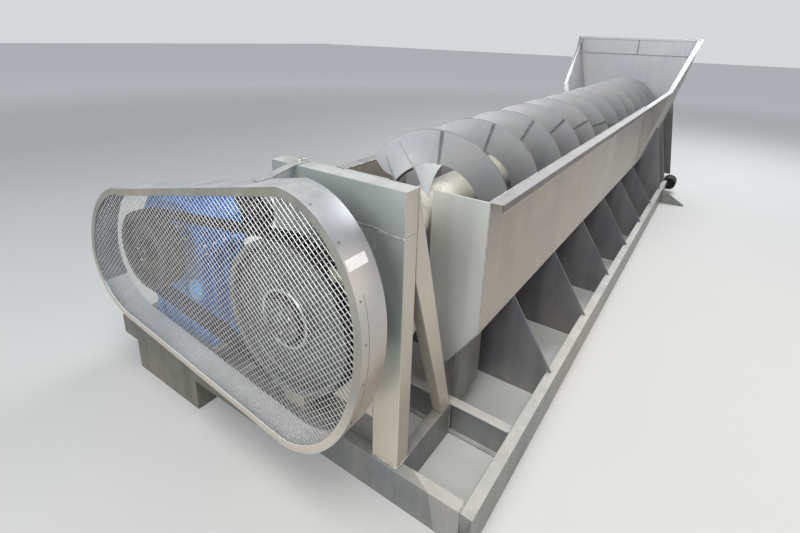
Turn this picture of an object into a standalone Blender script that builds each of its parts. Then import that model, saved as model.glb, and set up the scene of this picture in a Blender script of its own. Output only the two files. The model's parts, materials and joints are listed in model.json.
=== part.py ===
"""Open-trough spiral conveyor (sand washer type) on a skid, with a belt drive behind a mesh guard.

Metres, +Z up. The drive end faces -Y, the feed hopper is at +Y, and the origin is on the floor at the
middle of the skid's front face. Right means +X, seen from the drive end.
"""

from math import atan2, copysign, cos, hypot, pi, radians, sin, sqrt

import bmesh
import bpy
from mathutils import Matrix, Vector

GAP = 0.0003

# Skid
SKID_HALF = 0.77
SKID_HEIGHT = 0.20
SKID_END_Y = 6.27
FLANGE = 0.060
WEB = 0.008
INNER_RAIL_X = 0.374
BRACE_BEAM_Y = 0.524

# Saddles, the cross plates that carry the trough
SADDLE_FIRST_Y = 1.103
SADDLE_PITCH = 0.774
SADDLE_COUNT = 6
TALL_SADDLES_Y = (5.747, 6.200)
TALL_SADDLE_TOP = (0.575, 1.020)
SADDLE_PLATE = 0.012
SADDLE_FOOT_X = 0.739

# Trough
TROUGH_HALF = 0.459
TROUGH_FRONT_Y = 0.610
WALL = 0.008
WALL_BOTTOM_Z = 0.630
RIM_Z = 1.363
RIM_OUT = 0.064
RIM_LIP = 0.050
CHEEK_SLOT = 0.139
CHEEK_LOW = (0.290, 0.380)
TANK_SEAM_Y = 5.05

# Feed hopper
HOPPER_LEAN = 0.235
HOPPER_FOOT_X = TROUGH_HALF - WALL + 0.0015
SEAM_WAY = Vector((0.4176, 0.9086, 0))
HOPPER_KINK_Z = 1.510
HOPPER_TOP_Z = 2.150
HOPPER_END_Y = 6.49
END_FOOT = (0.772, 0.250)
END_WAIST_Z = 1.310
HOPPER_BAND = 0.22

# Screw
SCREW_Z = 1.190
FLIGHT_RADIUS = 0.416
FLIGHT_INNER = 0.245
FLIGHT_PITCH = 0.480
FLIGHT_TURNS = 11.6
FLIGHT_FRONT_Y = 0.780
FLIGHT_FRONT_ANGLE = radians(149)
FLIGHT_PLATE = 0.010
FLIGHT_PARTS = 5
FLIGHT_CUT = 0.0002
FLOOR_RADIUS = 0.440
SHAFT_RADIUS = 0.125
SHAFT_FRONT_Y = 0.330
JOURNAL_RADIUS = 0.055
FLIGHT_STEPS = 24
ARM_HALF_TURNS = 23

# Drive frame
POST_FRONT_Y = 0.015
POST_DEPTH = 0.090
POST_WIDTH = 0.145
HEAD_LOW_Z = 1.3625
HEAD_TOP_Z = 1.552
BRACE_WIDTH = 0.060

# Belt drive and guard
PULLEY_BIG = (-0.035, 0.980)
PULLEY_BIG_RADIUS = 0.345
PULLEY_SMALL = (-1.130, 0.955)
PULLEY_SMALL_RADIUS = 0.215
PULLEY_SHAFT_RADIUS = 0.060
BELT_Y = (-0.250, -0.155)
BELT_CLEAR = 0.0019
BELT_THICK = 0.014
GUARD_Y = (-0.283, -0.133)
# each quarter of the outline: centre, reach, the angle it starts at and how full it is (2 is an ellipse)
GUARD_QUARTERS = [
    ((-0.074, 1.041), (0.480, 0.714), -90, 2),
    ((-0.004, 1.041), (0.410, 0.528), 0, 2),
    ((-1.251, 0.786), (0.452, 0.510), 90, 1.75),
    ((-1.310, 0.786), (0.393, 0.329), 180, 2),
]
GUARD_SHEET = 0.005
GUARD_LIP = 0.038

# Geared motor and its deck
DECK_LEFT_X = -1.66
DECK_TOP_Z = 0.330
DECK_FRONT_Y = -0.197
DECK_BACK_Y = 0.560
UNIT_X = (-1.460, -0.915)
UNIT_Y = (-0.060, 0.229)
UNIT_SPLIT_Z = 0.955
UNIT_TOP_Z = 1.185
UNIT_FLANGE = 0.030
MOTOR_RADIUS = 0.155
MOTOR_LENGTH = 0.300

COLOURS = {
    "painted_steel": (0.44, 0.44, 0.42, 0.45, 0.75),
    "light_steel": (0.62, 0.62, 0.60, 0.42, 0.60),
    "screw_steel": (0.47, 0.48, 0.47, 0.45, 0.70),
    "shaft_paint": (0.78, 0.77, 0.70, 0.50, 0.05),
    "guard_steel": (0.50, 0.49, 0.46, 0.35, 0.80),
    "cast_iron": (0.40, 0.41, 0.41, 0.55, 0.60),
    "black_rubber": (0.02, 0.02, 0.02, 0.80, 0.00),
    "motor_blue": (0.03, 0.16, 0.50, 0.40, 0.05),
}


def clear_scene():
    for thing in list(bpy.data.objects):
        bpy.data.objects.remove(thing)


def make_materials():
    made = {}
    for name, (red, green, blue, rough, metal) in COLOURS.items():
        material = bpy.data.materials.new(name)
        material.use_nodes = True
        shader = material.node_tree.nodes["Principled BSDF"]
        shader.inputs["Base Color"].default_value = (red, green, blue, 1)
        shader.inputs["Roughness"].default_value = rough
        shader.inputs["Metallic"].default_value = metal
        made[name] = material
    return made


clear_scene()
MATERIALS = make_materials()
PARTS = bpy.data.collections.new("screw_conveyor")
CUTTERS = bpy.data.collections.new("cutters")
bpy.context.scene.collection.children.link(PARTS)
bpy.context.scene.collection.children.link(CUTTERS)


def place(thing, material, collection=PARTS):
    collection.objects.link(thing)
    if material:
        thing.data.materials.append(MATERIALS[material])
    return thing


def box(name, low, high, material, collection=PARTS):
    """A block between two corners."""
    shape = bmesh.new()
    bmesh.ops.create_cube(shape, size=1)
    size = [b - a for a, b in zip(low, high)]
    middle = [(a + b) / 2 for a, b in zip(low, high)]
    bmesh.ops.scale(shape, vec=size, verts=shape.verts)
    mesh = bpy.data.meshes.new(name)
    shape.to_mesh(mesh)
    shape.free()
    thing = bpy.data.objects.new(name, mesh)
    thing.location = middle
    return place(thing, material, collection)


def frame_of(origin, across, up):
    """A matrix whose x and y axes are across and up, standing at origin."""
    across = Vector(across).normalized()
    up = Vector(up).normalized()
    out = across.cross(up)
    rows = Matrix((across, up, out)).transposed()
    return Matrix.Translation(origin) @ rows.to_4x4()


def plate(name, outlines, thickness, origin, across, up, material, collection=PARTS):
    """A flat outline, with any holes after it, made thickness deep along across x up."""
    curve = bpy.data.curves.new(name, "CURVE")
    curve.dimensions = "2D"
    curve.fill_mode = "BOTH"
    curve.extrude = thickness / 2
    for outline in outlines:
        spline = curve.splines.new("POLY")
        spline.points.add(len(outline) - 1)
        spline.use_cyclic_u = True
        for point, (u, v) in zip(spline.points, outline):
            point.co = (u, v, 0, 1)
    thing = bpy.data.objects.new(name, curve)
    matrix = frame_of(origin, across, up)
    thing.matrix_world = matrix @ Matrix.Translation((0, 0, thickness / 2))
    return place(thing, material, collection)


def as_mesh(thing):
    """The same object with its curve or its modifiers made into a closed mesh."""
    bpy.context.view_layer.update()
    graph = bpy.context.evaluated_depsgraph_get()
    mesh = bpy.data.meshes.new_from_object(thing.evaluated_get(graph))
    shape = bmesh.new()
    shape.from_mesh(mesh)
    bmesh.ops.remove_doubles(shape, verts=shape.verts, dist=0.00002)
    bmesh.ops.recalc_face_normals(shape, faces=shape.faces)
    shape.to_mesh(mesh)
    shape.free()
    name, matrix, home = thing.name, thing.matrix_world.copy(), thing.users_collection[0]
    bpy.data.objects.remove(thing)
    solid = bpy.data.objects.new(name, mesh)
    solid.matrix_world = matrix
    home.objects.link(solid)
    return solid


def join_with(thing, helpers, operation="UNION"):
    """Adds or cuts each helper, which stays as a hidden guide."""
    for helper in helpers:
        helper.hide_render = True
        helper.display_type = "WIRE"
        change = thing.modifiers.new(helper.name, "BOOLEAN")
        change.operation = operation
        change.object = helper
    return thing


def side_plate(name, side, outline, thickness, origin, across, up, material):
    """A plate drawn for the right side, whose thickness goes outward on either side."""
    across = Vector(across) * side
    outline = [(side * u, v) for u, v in outline]
    return plate(name, [outline], thickness, origin, across, up, material)


def mirrored(outline):
    return [(-u, v) for u, v in reversed(outline)]


def both_sides(make, *values):
    """Makes a left and a right copy of a piece that is drawn for the right side."""
    for side, name in ((1, "right"), (-1, "left")):
        make(side, name, *values)


def arc(centre, radius, start, stop, steps):
    """Points on an arc or, with two radii, on an ellipse."""
    wide, high = radius if isinstance(radius, tuple) else (radius, radius)
    angles = [start + (stop - start) * i / steps for i in range(steps + 1)]
    return [(centre[0] + wide * cos(a), centre[1] + high * sin(a)) for a in angles]


def channel(width, height, web=WEB, flange=0.010):
    """A channel section with its web on the u = 0 side."""
    return [
        (0, 0),
        (width, 0),
        (width, flange),
        (web, flange),
        (web, height - flange),
        (width, height - flange),
        (width, height),
        (0, height),
    ]


def beam_section(width, height, web=WEB, flange=0.010):
    """An I section from u = 0 to width."""
    left, right = (width - web) / 2, (width + web) / 2
    return [
        (0, 0),
        (width, 0),
        (width, flange),
        (right, flange),
        (right, height - flange),
        (width, height - flange),
        (width, height),
        (0, height),
        (0, height - flange),
        (left, height - flange),
        (left, flange),
        (0, flange),
    ]


# Skid


def make_rail(side, name):
    section = [(side * (SKID_HALF - u), v) for u, v in channel(FLANGE, SKID_HEIGHT)]
    outline = section if side < 0 else section[::-1]
    plate("rail_" + name, [outline], SKID_END_Y, (0, SKID_END_Y, 0), (1, 0, 0), (0, 0, 1), "painted_steel")


def cross_member(name, section, front_y, half):
    """A section drawn along +Y, run across the skid from -half to half."""
    plate(name, [section], 2 * half, (-half, front_y, 0), (0, 1, 0), (0, 0, 1), "painted_steel")


def make_inner_rail(side, name):
    start = FLANGE + GAP
    length = BRACE_BEAM_Y - GAP - start
    section = [(side * (INNER_RAIL_X - u), v) for u, v in channel(FLANGE, SKID_HEIGHT)]
    outline = section if side < 0 else section[::-1]
    name = "inner_rail_" + name
    plate(name, [outline], length, (0, start + length, 0), (1, 0, 0), (0, 0, 1), "painted_steel")


def make_skid():
    inside = SKID_HALF - FLANGE - GAP
    both_sides(make_rail)
    both_sides(make_inner_rail)
    cross_member("front_beam", channel(FLANGE, SKID_HEIGHT), 0, inside)
    cross_member("brace_beam", beam_section(FLANGE, SKID_HEIGHT), BRACE_BEAM_Y, inside)


def make_saddle(name, y, upper):
    """A cross plate with a flanged beam at its foot. Upper holds the (x, z) corners above the right rail."""
    inside = SKID_HALF - FLANGE - GAP
    foot = SADDLE_FOOT_X
    seat = SKID_HEIGHT + GAP
    half = [(inside, 0), (inside, seat + 0.005), (inside + 0.005, seat), (foot, seat), *upper]
    outline = half + mirrored(half)
    back = y + SADDLE_PLATE
    solid = plate(name, [outline], SADDLE_PLATE, (0, back, 0), (1, 0, 0), (0, 0, 1), "painted_steel")
    solid = as_mesh(solid)
    flanges = []
    reach = inside - 0.0005
    for label, low in (("low", 0.0005), ("high", SKID_HEIGHT - 0.0105)):
        front = y + SADDLE_PLATE / 2
        corners = (-reach, front, low), (reach, y + FLANGE, low + 0.010)
        flanges.append(box(f"{name}_flange_{label}", *corners, None, CUTTERS))
    return join_with(solid, flanges)


def make_saddles():
    top = (0.15, SCREW_Z - FLOOR_RADIUS - WALL - GAP)
    shoulder = (TROUGH_HALF, WALL_BOTTOM_Z - 0.0033)
    for i in range(SADDLE_COUNT):
        make_saddle(f"saddle_{i + 1}", SADDLE_FIRST_Y + i * SADDLE_PITCH, [shoulder, top])
    wing_x, wing_z = TALL_SADDLE_TOP
    skin = WALL * 1.03 + 0.0006
    inner_low = (hopper_x(WALL_BOTTOM_Z) + skin, WALL_BOTTOM_Z - 0.0033)
    inner_high = (hopper_x(wing_z) + skin, wing_z)
    for i, y in enumerate(TALL_SADDLES_Y):
        make_saddle(f"saddle_{SADDLE_COUNT + 1 + i}", y, [TALL_SADDLE_TOP, inner_high, inner_low, top])


def make_front_leg(side, name):
    """The upright plate under the trough's front end."""
    outer = INNER_RAIL_X
    thick = 0.040
    reach = FLOOR_RADIUS + WALL
    top = SCREW_Z - sqrt(reach**2 - (outer - thick) ** 2) - GAP
    face = BRACE_BEAM_Y + FLANGE + GAP
    behind = TROUGH_FRONT_Y + WALL + GAP
    notch = 0.37
    outline = [(face, 0.15), (0.86, 0.15), (0.86, top), (behind, top), (behind, notch), (face, notch)]
    x = outer - thick if side > 0 else -outer
    plate("front_leg_" + name, [outline], thick, (x, 0, 0), (0, 1, 0), (0, 0, 1), "painted_steel")


# Drive frame


def make_post(side, name):
    inner = INNER_RAIL_X - POST_WIDTH
    low = (min(side * inner, side * INNER_RAIL_X), POST_FRONT_Y, SKID_HEIGHT + GAP)
    high = (max(side * inner, side * INNER_RAIL_X), POST_FRONT_Y + POST_DEPTH, HEAD_LOW_Z - GAP)
    box("post_" + name, low, high, "painted_steel")


def make_brace(side, name):
    """A leaning strut from the back of the post down to the end of the inner rail."""
    back = POST_FRONT_Y + POST_DEPTH + GAP
    foot = BRACE_BEAM_Y - 0.010
    low = SKID_HEIGHT + GAP
    outline = [(back, 1.15), (foot - 0.080, low), (foot, low), (back, HEAD_TOP_Z)]
    x = INNER_RAIL_X - BRACE_WIDTH if side > 0 else -INNER_RAIL_X
    plate("brace_" + name, [outline], BRACE_WIDTH, (x, 0, 0), (0, 1, 0), (0, 0, 1), "painted_steel")


def make_drive_frame():
    both_sides(make_post)
    both_sides(make_brace)
    back = POST_FRONT_Y + POST_DEPTH
    box(
        "head_beam",
        (-INNER_RAIL_X, POST_FRONT_Y, HEAD_LOW_Z),
        (INNER_RAIL_X, back, HEAD_TOP_Z),
        "painted_steel",
    )
    half = INNER_RAIL_X - POST_WIDTH - GAP
    low, high = 0.42, HEAD_LOW_Z - GAP
    outline = [(-half, low), (half, low), (half, high), (-half, high)]
    hole = arc(PULLEY_BIG, PULLEY_SHAFT_RADIUS + 0.012, 0, 2 * pi * 23 / 24, 23)
    back = (0, POST_FRONT_Y + 0.012, 0)
    plate("drive_plate", [outline, hole], 0.012, back, (1, 0, 0), (0, 0, 1), "painted_steel")


# Trough


def wall_outline(side):
    inner, outer = TROUGH_HALF - WALL, TROUGH_HALF
    edge = outer + RIM_OUT
    right = [
        (inner, WALL_BOTTOM_Z),
        (outer, WALL_BOTTOM_Z),
        (outer, RIM_Z - 0.008),
        (edge - 0.006, RIM_Z - 0.008),
        (edge - 0.006, RIM_Z - RIM_LIP),
        (edge, RIM_Z - RIM_LIP),
        (edge, RIM_Z),
        (inner, RIM_Z),
    ]
    return right if side > 0 else mirrored(right)


def make_wall(side, name):
    """The side wall with its outward rim, up to the hopper."""
    start = TROUGH_FRONT_Y + WALL + GAP
    length = TANK_SEAM_Y - start
    place_at = (0, TANK_SEAM_Y, 0)
    plate("wall_" + name, [wall_outline(side)], length, place_at, (1, 0, 0), (0, 0, 1), "painted_steel")


def make_cheek(side, name):
    """One half of the trough's front end plate, beside the slot for the shaft."""
    right = [
        (CHEEK_SLOT, CHEEK_LOW[1]),
        CHEEK_LOW,
        (TROUGH_HALF, WALL_BOTTOM_Z),
        (TROUGH_HALF, RIM_Z),
        (CHEEK_SLOT, RIM_Z),
    ]
    outline = right if side > 0 else mirrored(right)
    back = (0, TROUGH_FRONT_Y + WALL, 0)
    plate("cheek_" + name, [outline], WALL, back, (1, 0, 0), (0, 0, 1), "light_steel")


def make_floor():
    """The half-round floor that the screw runs in, level with the shaft at its edges."""
    centre = (0, SCREW_Z)
    reach = min(FLOOR_RADIUS + WALL, TROUGH_HALF - WALL - GAP)
    outer = arc(centre, reach, pi, 2 * pi, 24)
    inner = arc(centre, FLOOR_RADIUS, 2 * pi, pi, 24)
    start = TROUGH_FRONT_Y + WALL + GAP
    stop = HOPPER_END_Y - GAP
    outline = outer + inner
    plate("trough_floor", [outline], stop - start, (0, stop, 0), (1, 0, 0), (0, 0, 1), "painted_steel")


def make_spout():
    """The open tray that drops the sand out below the slot in the front end plate."""
    half = CHEEK_SLOT - 2 * GAP
    skin = 0.006
    high = 0.10
    outline = [
        (-half, 0),
        (half, 0),
        (half, high),
        (half - skin, high),
        (half - skin, skin),
        (skin - half, skin),
        (skin - half, high),
        (-half, high),
    ]
    top = Vector((0, TROUGH_FRONT_Y + 0.004, SCREW_Z - FLOOR_RADIUS - 0.10))
    foot = Vector((0, 0.27, 0.42))
    along = (foot - top).normalized()
    up = Vector((1, 0, 0)).cross(-along)
    up = up if up.z > 0 else -up
    length = (foot - top).length
    across = Vector((1, 0, 0))
    start = foot if across.cross(up).dot(along) < 0 else top
    plate("spout", [outline], length, start, across, up, "light_steel")


# Feed hopper


def hopper_x(z):
    """Where the inner face of the hopper's leaning side lies at height z."""
    return HOPPER_FOOT_X + HOPPER_LEAN * (z - WALL_BOTTOM_Z)


def hopper_kink():
    reach = (hopper_x(HOPPER_KINK_Z) - HOPPER_FOOT_X) / SEAM_WAY.x
    return Vector((HOPPER_FOOT_X, TANK_SEAM_Y + 0.003, 0)) + SEAM_WAY * reach


def make_hopper_side(side, name):
    """The leaning side, the upright corner plate ahead of it and the sloping ledge inside."""
    kink = hopper_kink()
    stop = HOPPER_END_Y - GAP
    rise = hypot(1, HOPPER_LEAN)
    lean = Vector((side * HOPPER_LEAN, 0, 1))
    root = Vector((side * HOPPER_FOOT_X, 0, WALL_BOTTOM_Z))
    high = (HOPPER_TOP_Z - 0.028 - WALL_BOTTOM_Z) * rise
    low = (HOPPER_KINK_Z - 0.012 - WALL_BOTTOM_Z) * rise
    wall = [(TANK_SEAM_Y + 0.0048, 0), (stop, 0), (stop, high), (kink.y + 0.004, low)]
    side_plate("hopper_side_" + name, side, wall, WALL, root, (0, 1, 0), lean, "light_steel")
    make_skirt(side, name, kink)
    make_ledge(side, name, kink)


def make_skirt(side, name, kink):
    """The upright triangle between the trough's wall and the hopper's leaning side."""
    first = Vector((side * HOPPER_FOOT_X, TANK_SEAM_Y + 0.003, 0))
    last = Vector((side * kink.x, kink.y, 0))
    length = (last - first).length - 0.004
    tip = HOPPER_KINK_Z - 0.018
    outline = [(0, WALL_BOTTOM_Z + 0.002), (length, tip), (length, tip + 0.003), (0, RIM_Z - 0.012)]
    across = last - first
    side_plate("skirt_" + name, side, outline, 0.006, first, across, (0, 0, 1), "light_steel")


def make_ledge(side, name, kink):
    """The sloping plate from the edge of the round floor up to the leaning side."""
    low = Vector((TROUGH_HALF - WALL + 0.0005, 0, SCREW_Z + 0.004))
    top_z = SCREW_Z + 0.125
    high = Vector((hopper_x(top_z) - 0.0085, 0, top_z))
    slope = high - low
    run = slope.length
    stop = HOPPER_END_Y - GAP
    full_y = TANK_SEAM_Y + 0.02 + (high.x - HOPPER_FOOT_X) * SEAM_WAY.y / SEAM_WAY.x
    outline = [(TANK_SEAM_Y + 0.016, 0), (stop, 0), (stop, run), (full_y, run)]
    root = Vector((side * low.x, 0, low.z))
    up = Vector((side * slope.x, 0, slope.z))
    side_plate("ledge_" + name, side, outline, 0.006, root, (0, 1, 0), up, "light_steel")


def make_hopper_end():
    skin = WALL * 1.03
    top = HOPPER_TOP_Z - 0.012
    half = [
        END_FOOT,
        (hopper_x(END_WAIST_Z) + skin, END_WAIST_Z),
        (hopper_x(top - 0.030) + skin, top - 0.030),
        (hopper_x(top) - 0.030, top),
    ]
    outline = half + mirrored(half)
    back = (0, HOPPER_END_Y + WALL, 0)
    plate("hopper_end", [outline], WALL, back, (1, 0, 0), (0, 0, 1), "light_steel")
    low = HOPPER_TOP_Z - HOPPER_BAND
    neck = top - 0.030
    band = [(hopper_x(low) - 0.004, low), (hopper_x(neck) - 0.004, neck), (hopper_x(top) - 0.040, top)]
    band = band + mirrored(band)
    front = (0, HOPPER_END_Y - GAP, 0)
    plate("weir_band", [band], 0.012, front, (1, 0, 0), (0, 0, 1), "light_steel")


def make_hopper_rim():
    """A flat bar bent along the hopper's top edges and across its end."""
    kink = hopper_kink()
    inset = 0.012
    half_thick = 0.004
    right = [
        (TROUGH_HALF + RIM_OUT / 2, TANK_SEAM_Y + GAP, RIM_Z - half_thick),
        (kink.x - inset, kink.y, HOPPER_KINK_Z + half_thick),
        (hopper_x(HOPPER_TOP_Z) - inset, HOPPER_END_Y + 0.010, HOPPER_TOP_Z + half_thick),
    ]
    points = right + [(-x, y, z) for x, y, z in reversed(right)]
    ends = ((0, 1), (0, -1))
    flat_bar("hopper_rim", points, RIM_OUT / 2 - 0.004, half_thick, ends, "light_steel")


def flat_bar(name, points, half_wide, half_thick, ends, material):
    """A flat bar, level across, that follows points with a mitre at each bend.

    Ends holds the way each end faces.
    """
    points = [Vector(point) for point in points]
    ways = [(b - a).xy.normalized() for a, b in zip(points, points[1:])]
    middles = [Vector(ends[0]), *[(a + b).normalized() for a, b in zip(ways, ways[1:])], Vector(ends[1])]
    shape = bmesh.new()
    sections = []
    for point, middle, way in zip(points, middles, [*ways, ways[-1]]):
        across = Vector((middle.y, -middle.x, 0)) * (half_wide / middle.dot(way))
        lift = Vector((0, 0, half_thick))
        corners = (point - across - lift, point + across - lift, point + across + lift, point - across + lift)
        sections.append([shape.verts.new(corner) for corner in corners])
    for first, second in zip(sections, sections[1:]):
        for i in range(4):
            j = (i + 1) % 4
            shape.faces.new((first[i], first[j], second[j], second[i]))
    shape.faces.new(sections[0])
    shape.faces.new(reversed(sections[-1]))
    bmesh.ops.recalc_face_normals(shape, faces=shape.faces)
    mesh = bpy.data.meshes.new(name)
    shape.to_mesh(mesh)
    shape.free()
    return place(bpy.data.objects.new(name, mesh), material)


# Screw


def turned(name, profile, material, steps=32):
    """A profile of (radius, distance) points turned round the Y direction."""
    mesh = bpy.data.meshes.new(name)
    shape = bmesh.new()
    verts = [shape.verts.new((radius, 0, -distance)) for radius, distance in profile]
    for first, second in zip(verts, verts[1:]):
        shape.edges.new((first, second))
    shape.to_mesh(mesh)
    shape.free()
    thing = bpy.data.objects.new(name, mesh)
    screw = thing.modifiers.new("turn", "SCREW")
    screw.axis = "Z"
    screw.steps = steps
    screw.render_steps = steps
    screw.use_merge_vertices = True
    screw.merge_threshold = 0.00005
    screw.use_normal_calculate = True
    return as_mesh(place(thing, material))


def lay_along_y(thing, x, y, z):
    """Turns local -Z, the way a profile runs, to +Y."""
    thing.matrix_world = frame_of((x, y, z), (1, 0, 0), (0, 0, 1))
    return thing


def make_shaft():
    back = HOPPER_END_Y - 0.045
    profile = [
        (0, 0),
        (SHAFT_RADIUS, 0),
        (SHAFT_RADIUS, back - 0.10 - SHAFT_FRONT_Y),
        (JOURNAL_RADIUS, back - 0.10 - SHAFT_FRONT_Y),
        (JOURNAL_RADIUS, back - SHAFT_FRONT_Y),
        (0, back - SHAFT_FRONT_Y),
    ]
    shaft = lay_along_y(turned("screw_shaft", profile, "shaft_paint"), 0, SHAFT_FRONT_Y, SCREW_Z)
    arms = []
    for i in range(ARM_HALF_TURNS):
        turned_by = 0.20 * pi + i * pi
        angle = FLIGHT_FRONT_ANGLE - turned_by
        y = FLIGHT_FRONT_Y + FLIGHT_PITCH * turned_by / (2 * pi)
        arms.append(make_arm(i, angle, y))
    join_with(shaft, arms)


def make_arm(i, angle, y):
    """A flat bar from inside the shaft out to the flight's inner edge."""
    length = 0.180
    start = FLIGHT_INNER * cos(pi / FLIGHT_STEPS) - 0.0020 - length
    outward = Vector((cos(angle), 0, sin(angle)))
    tangent = Vector((sin(angle), 0, -cos(angle)))
    slope = atan2(FLIGHT_PITCH, 2 * pi * FLIGHT_INNER)
    across = tangent * cos(slope) + Vector((0, 1, 0)) * sin(slope)
    normal = outward.cross(across)
    middle = Vector((0, y, SCREW_Z)) + outward * (start + length / 2)
    arm = box(f"arm_{i + 1}", (-length / 2, -0.022, -0.005), (length / 2, 0.022, 0.005), None, CUTTERS)
    rows = Matrix((outward, across, normal)).transposed()
    arm.matrix_world = Matrix.Translation(middle) @ rows.to_4x4()
    return arm


def make_flight():
    """The ribbon in welded lengths, each a radial line carried along a right-handed helix and thickened."""
    turns = FLIGHT_TURNS / FLIGHT_PARTS
    for i in range(FLIGHT_PARTS):
        back = FLIGHT_TURNS - (i + 1) * turns + FLIGHT_CUT / 2
        make_ribbon(f"flight_{i + 1}", back, turns - FLIGHT_CUT)


def make_ribbon(name, back, turns):
    """A length of ribbon, from back turns short of the rear end towards the front."""
    mesh = bpy.data.meshes.new(name)
    shape = bmesh.new()
    start = FLIGHT_FRONT_ANGLE + (back - FLIGHT_TURNS) * 2 * pi
    inner, outer = [
        shape.verts.new((radius * cos(start), radius * sin(start), 0))
        for radius in (FLIGHT_INNER, FLIGHT_RADIUS)
    ]
    shape.edges.new((inner, outer))
    shape.to_mesh(mesh)
    shape.free()
    ribbon = bpy.data.objects.new(name, mesh)
    screw = ribbon.modifiers.new("helix", "SCREW")
    screw.axis = "Z"
    screw.angle = 2 * pi * turns
    screw.screw_offset = turns * FLIGHT_PITCH
    screw.iterations = 1
    screw.steps = screw.render_steps = round(FLIGHT_STEPS * turns)
    screw.use_merge_vertices = False
    skin = ribbon.modifiers.new("plate", "SOLIDIFY")
    skin.thickness = FLIGHT_PLATE
    skin.offset = 0
    place(ribbon, "screw_steel")
    lay_along_y(ribbon, 0, FLIGHT_FRONT_Y + (FLIGHT_TURNS - back) * FLIGHT_PITCH, SCREW_Z)


def make_end_bearing():
    front = HOPPER_END_Y - 0.045 + 0.0006
    box(
        "end_bearing",
        (-0.11, front, SCREW_Z - 0.09),
        (0.11, HOPPER_END_Y - GAP, SCREW_Z + 0.09),
        "cast_iron",
    )


# Drive


def around(first, first_radius, second, second_radius, steps=18):
    """The outline of a loop that runs round two circles, first at the left."""
    dx, dz = second[0] - first[0], second[1] - first[1]
    gap = hypot(dx, dz)
    lie = atan2(dz, dx)
    spread = atan2(sqrt(gap**2 - (second_radius - first_radius) ** 2), first_radius - second_radius)
    right = arc(second, second_radius, lie - spread, lie + spread, steps)
    left = arc(first, first_radius, lie + spread, lie - spread + 2 * pi, steps)
    return right + left


def make_gear_case():
    outline = around((PULLEY_BIG[0], PULLEY_BIG[1] - 0.04), 0.150, (0, SCREW_Z), 0.205, 12)
    front = POST_FRONT_Y + POST_DEPTH + GAP
    length = SHAFT_FRONT_Y - 0.0006 - front
    back = (0, front + length, 0)
    plate("gear_case", [outline], length, back, (1, 0, 0), (0, 0, 1), "shaft_paint")


def make_pulley(name, centre, radius, hub, hub_back, dish):
    """A turned pulley: hub, web and grooved rim. Distances run from the guard side towards +Y."""
    front, back = BELT_Y
    width = back - front + 0.02
    web = 0.014
    rim = 0.030
    start = front - 0.01
    middle = width / 2
    end = hub_back - start
    profile = [
        (0, -0.012),
        (hub, -0.012),
        (hub, middle - web),
        (radius - rim, middle - web),
        (radius - rim, 0),
        (radius, 0),
    ]
    grooves = 4
    pitch = width / grooves
    for i in range(grooves):
        edge = i * pitch
        bottom = edge + pitch / 2
        profile += [(radius, edge + 0.004), (radius - 0.011, bottom), (radius, edge + pitch - 0.004)]
    profile += [
        (radius, width),
        (radius - rim, width),
        (radius - rim, middle + web),
        (dish, middle + web),
        (dish, end),
        (0, end),
    ]
    return lay_along_y(turned(name, profile, "cast_iron", steps=40), centre[0], start, centre[1])


def make_belt():
    front, back = BELT_Y
    big, small = PULLEY_BIG_RADIUS + BELT_CLEAR, PULLEY_SMALL_RADIUS + BELT_CLEAR
    inner = around(PULLEY_SMALL, small, PULLEY_BIG, big, 22)
    outer = around(PULLEY_SMALL, small + BELT_THICK, PULLEY_BIG, big + BELT_THICK, 22)
    plate("belt", [outer, inner], back - front, (0, back, 0), (1, 0, 0), (0, 0, 1), "black_rubber")


def guard_outline(inset=0.0, steps=7):
    """The guard's outline: four rounded quarters, joined by the straight top and bottom sheets."""
    points = []
    for (x, z), (wide, high), start, power in GUARD_QUARTERS:
        first = 1 if start in (0, 180) else 0
        for i in range(first, steps + 1):
            angle = radians(start + 90 * i / steps)
            across, up = [copysign(abs(way) ** (2 / power), way) for way in (cos(angle), sin(angle))]
            points.append((x + (wide - inset) * across, z + (high - inset) * up))
    return points


def make_guard_hoop():
    """The bent sheet round the drive and the flat lip along its front edge."""
    front, back = GUARD_Y
    outer = guard_outline()
    band = plate(
        "guard_hoop",
        [outer, guard_outline(GUARD_SHEET)],
        back - front,
        (0, back, 0),
        (1, 0, 0),
        (0, 0, 1),
        "guard_steel",
    )
    band = as_mesh(band)
    lip = plate(
        "guard_lip",
        [guard_outline(0.0015), guard_outline(GUARD_LIP)],
        0.004,
        (0, front + 0.0045, 0),
        (1, 0, 0),
        (0, 0, 1),
        None,
        CUTTERS,
    )
    join_with(band, [as_mesh(lip)])


def make_guard_mesh():
    """The mesh panel behind the lip, with wide diamonds in place of the fine ones."""
    front = GUARD_Y[0] + 0.0045 + GAP
    edge = guard_outline(GUARD_SHEET + 2 * GAP)
    wide, high, bar = 0.130, 0.150, 0.022
    holes = []
    x_left, x_right = min(x for x, z in edge), max(x for x, z in edge)
    z_low, z_high = min(z for x, z in edge), max(z for x, z in edge)
    count_x = int((x_right - x_left) / (wide / 2)) + 1
    count_z = int((z_high - z_low) / high) + 2
    for i in range(count_x):
        for j in range(count_z):
            x = x_left + i * wide / 2
            z = z_low + (j + 0.5 * (i % 2)) * high
            if inside_guard(x, z, GUARD_SHEET + 0.75 * wide):
                half_wide, half_high = wide / 2 - bar / 2, high / 2 - bar / 2
                holes.append([(x, z - half_high), (x + half_wide, z), (x, z + half_high), (x - half_wide, z)])
    plate("guard_mesh", [edge, *holes], 0.003, (0, front + 0.003, 0), (1, 0, 0), (0, 0, 1), "guard_steel")


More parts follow.
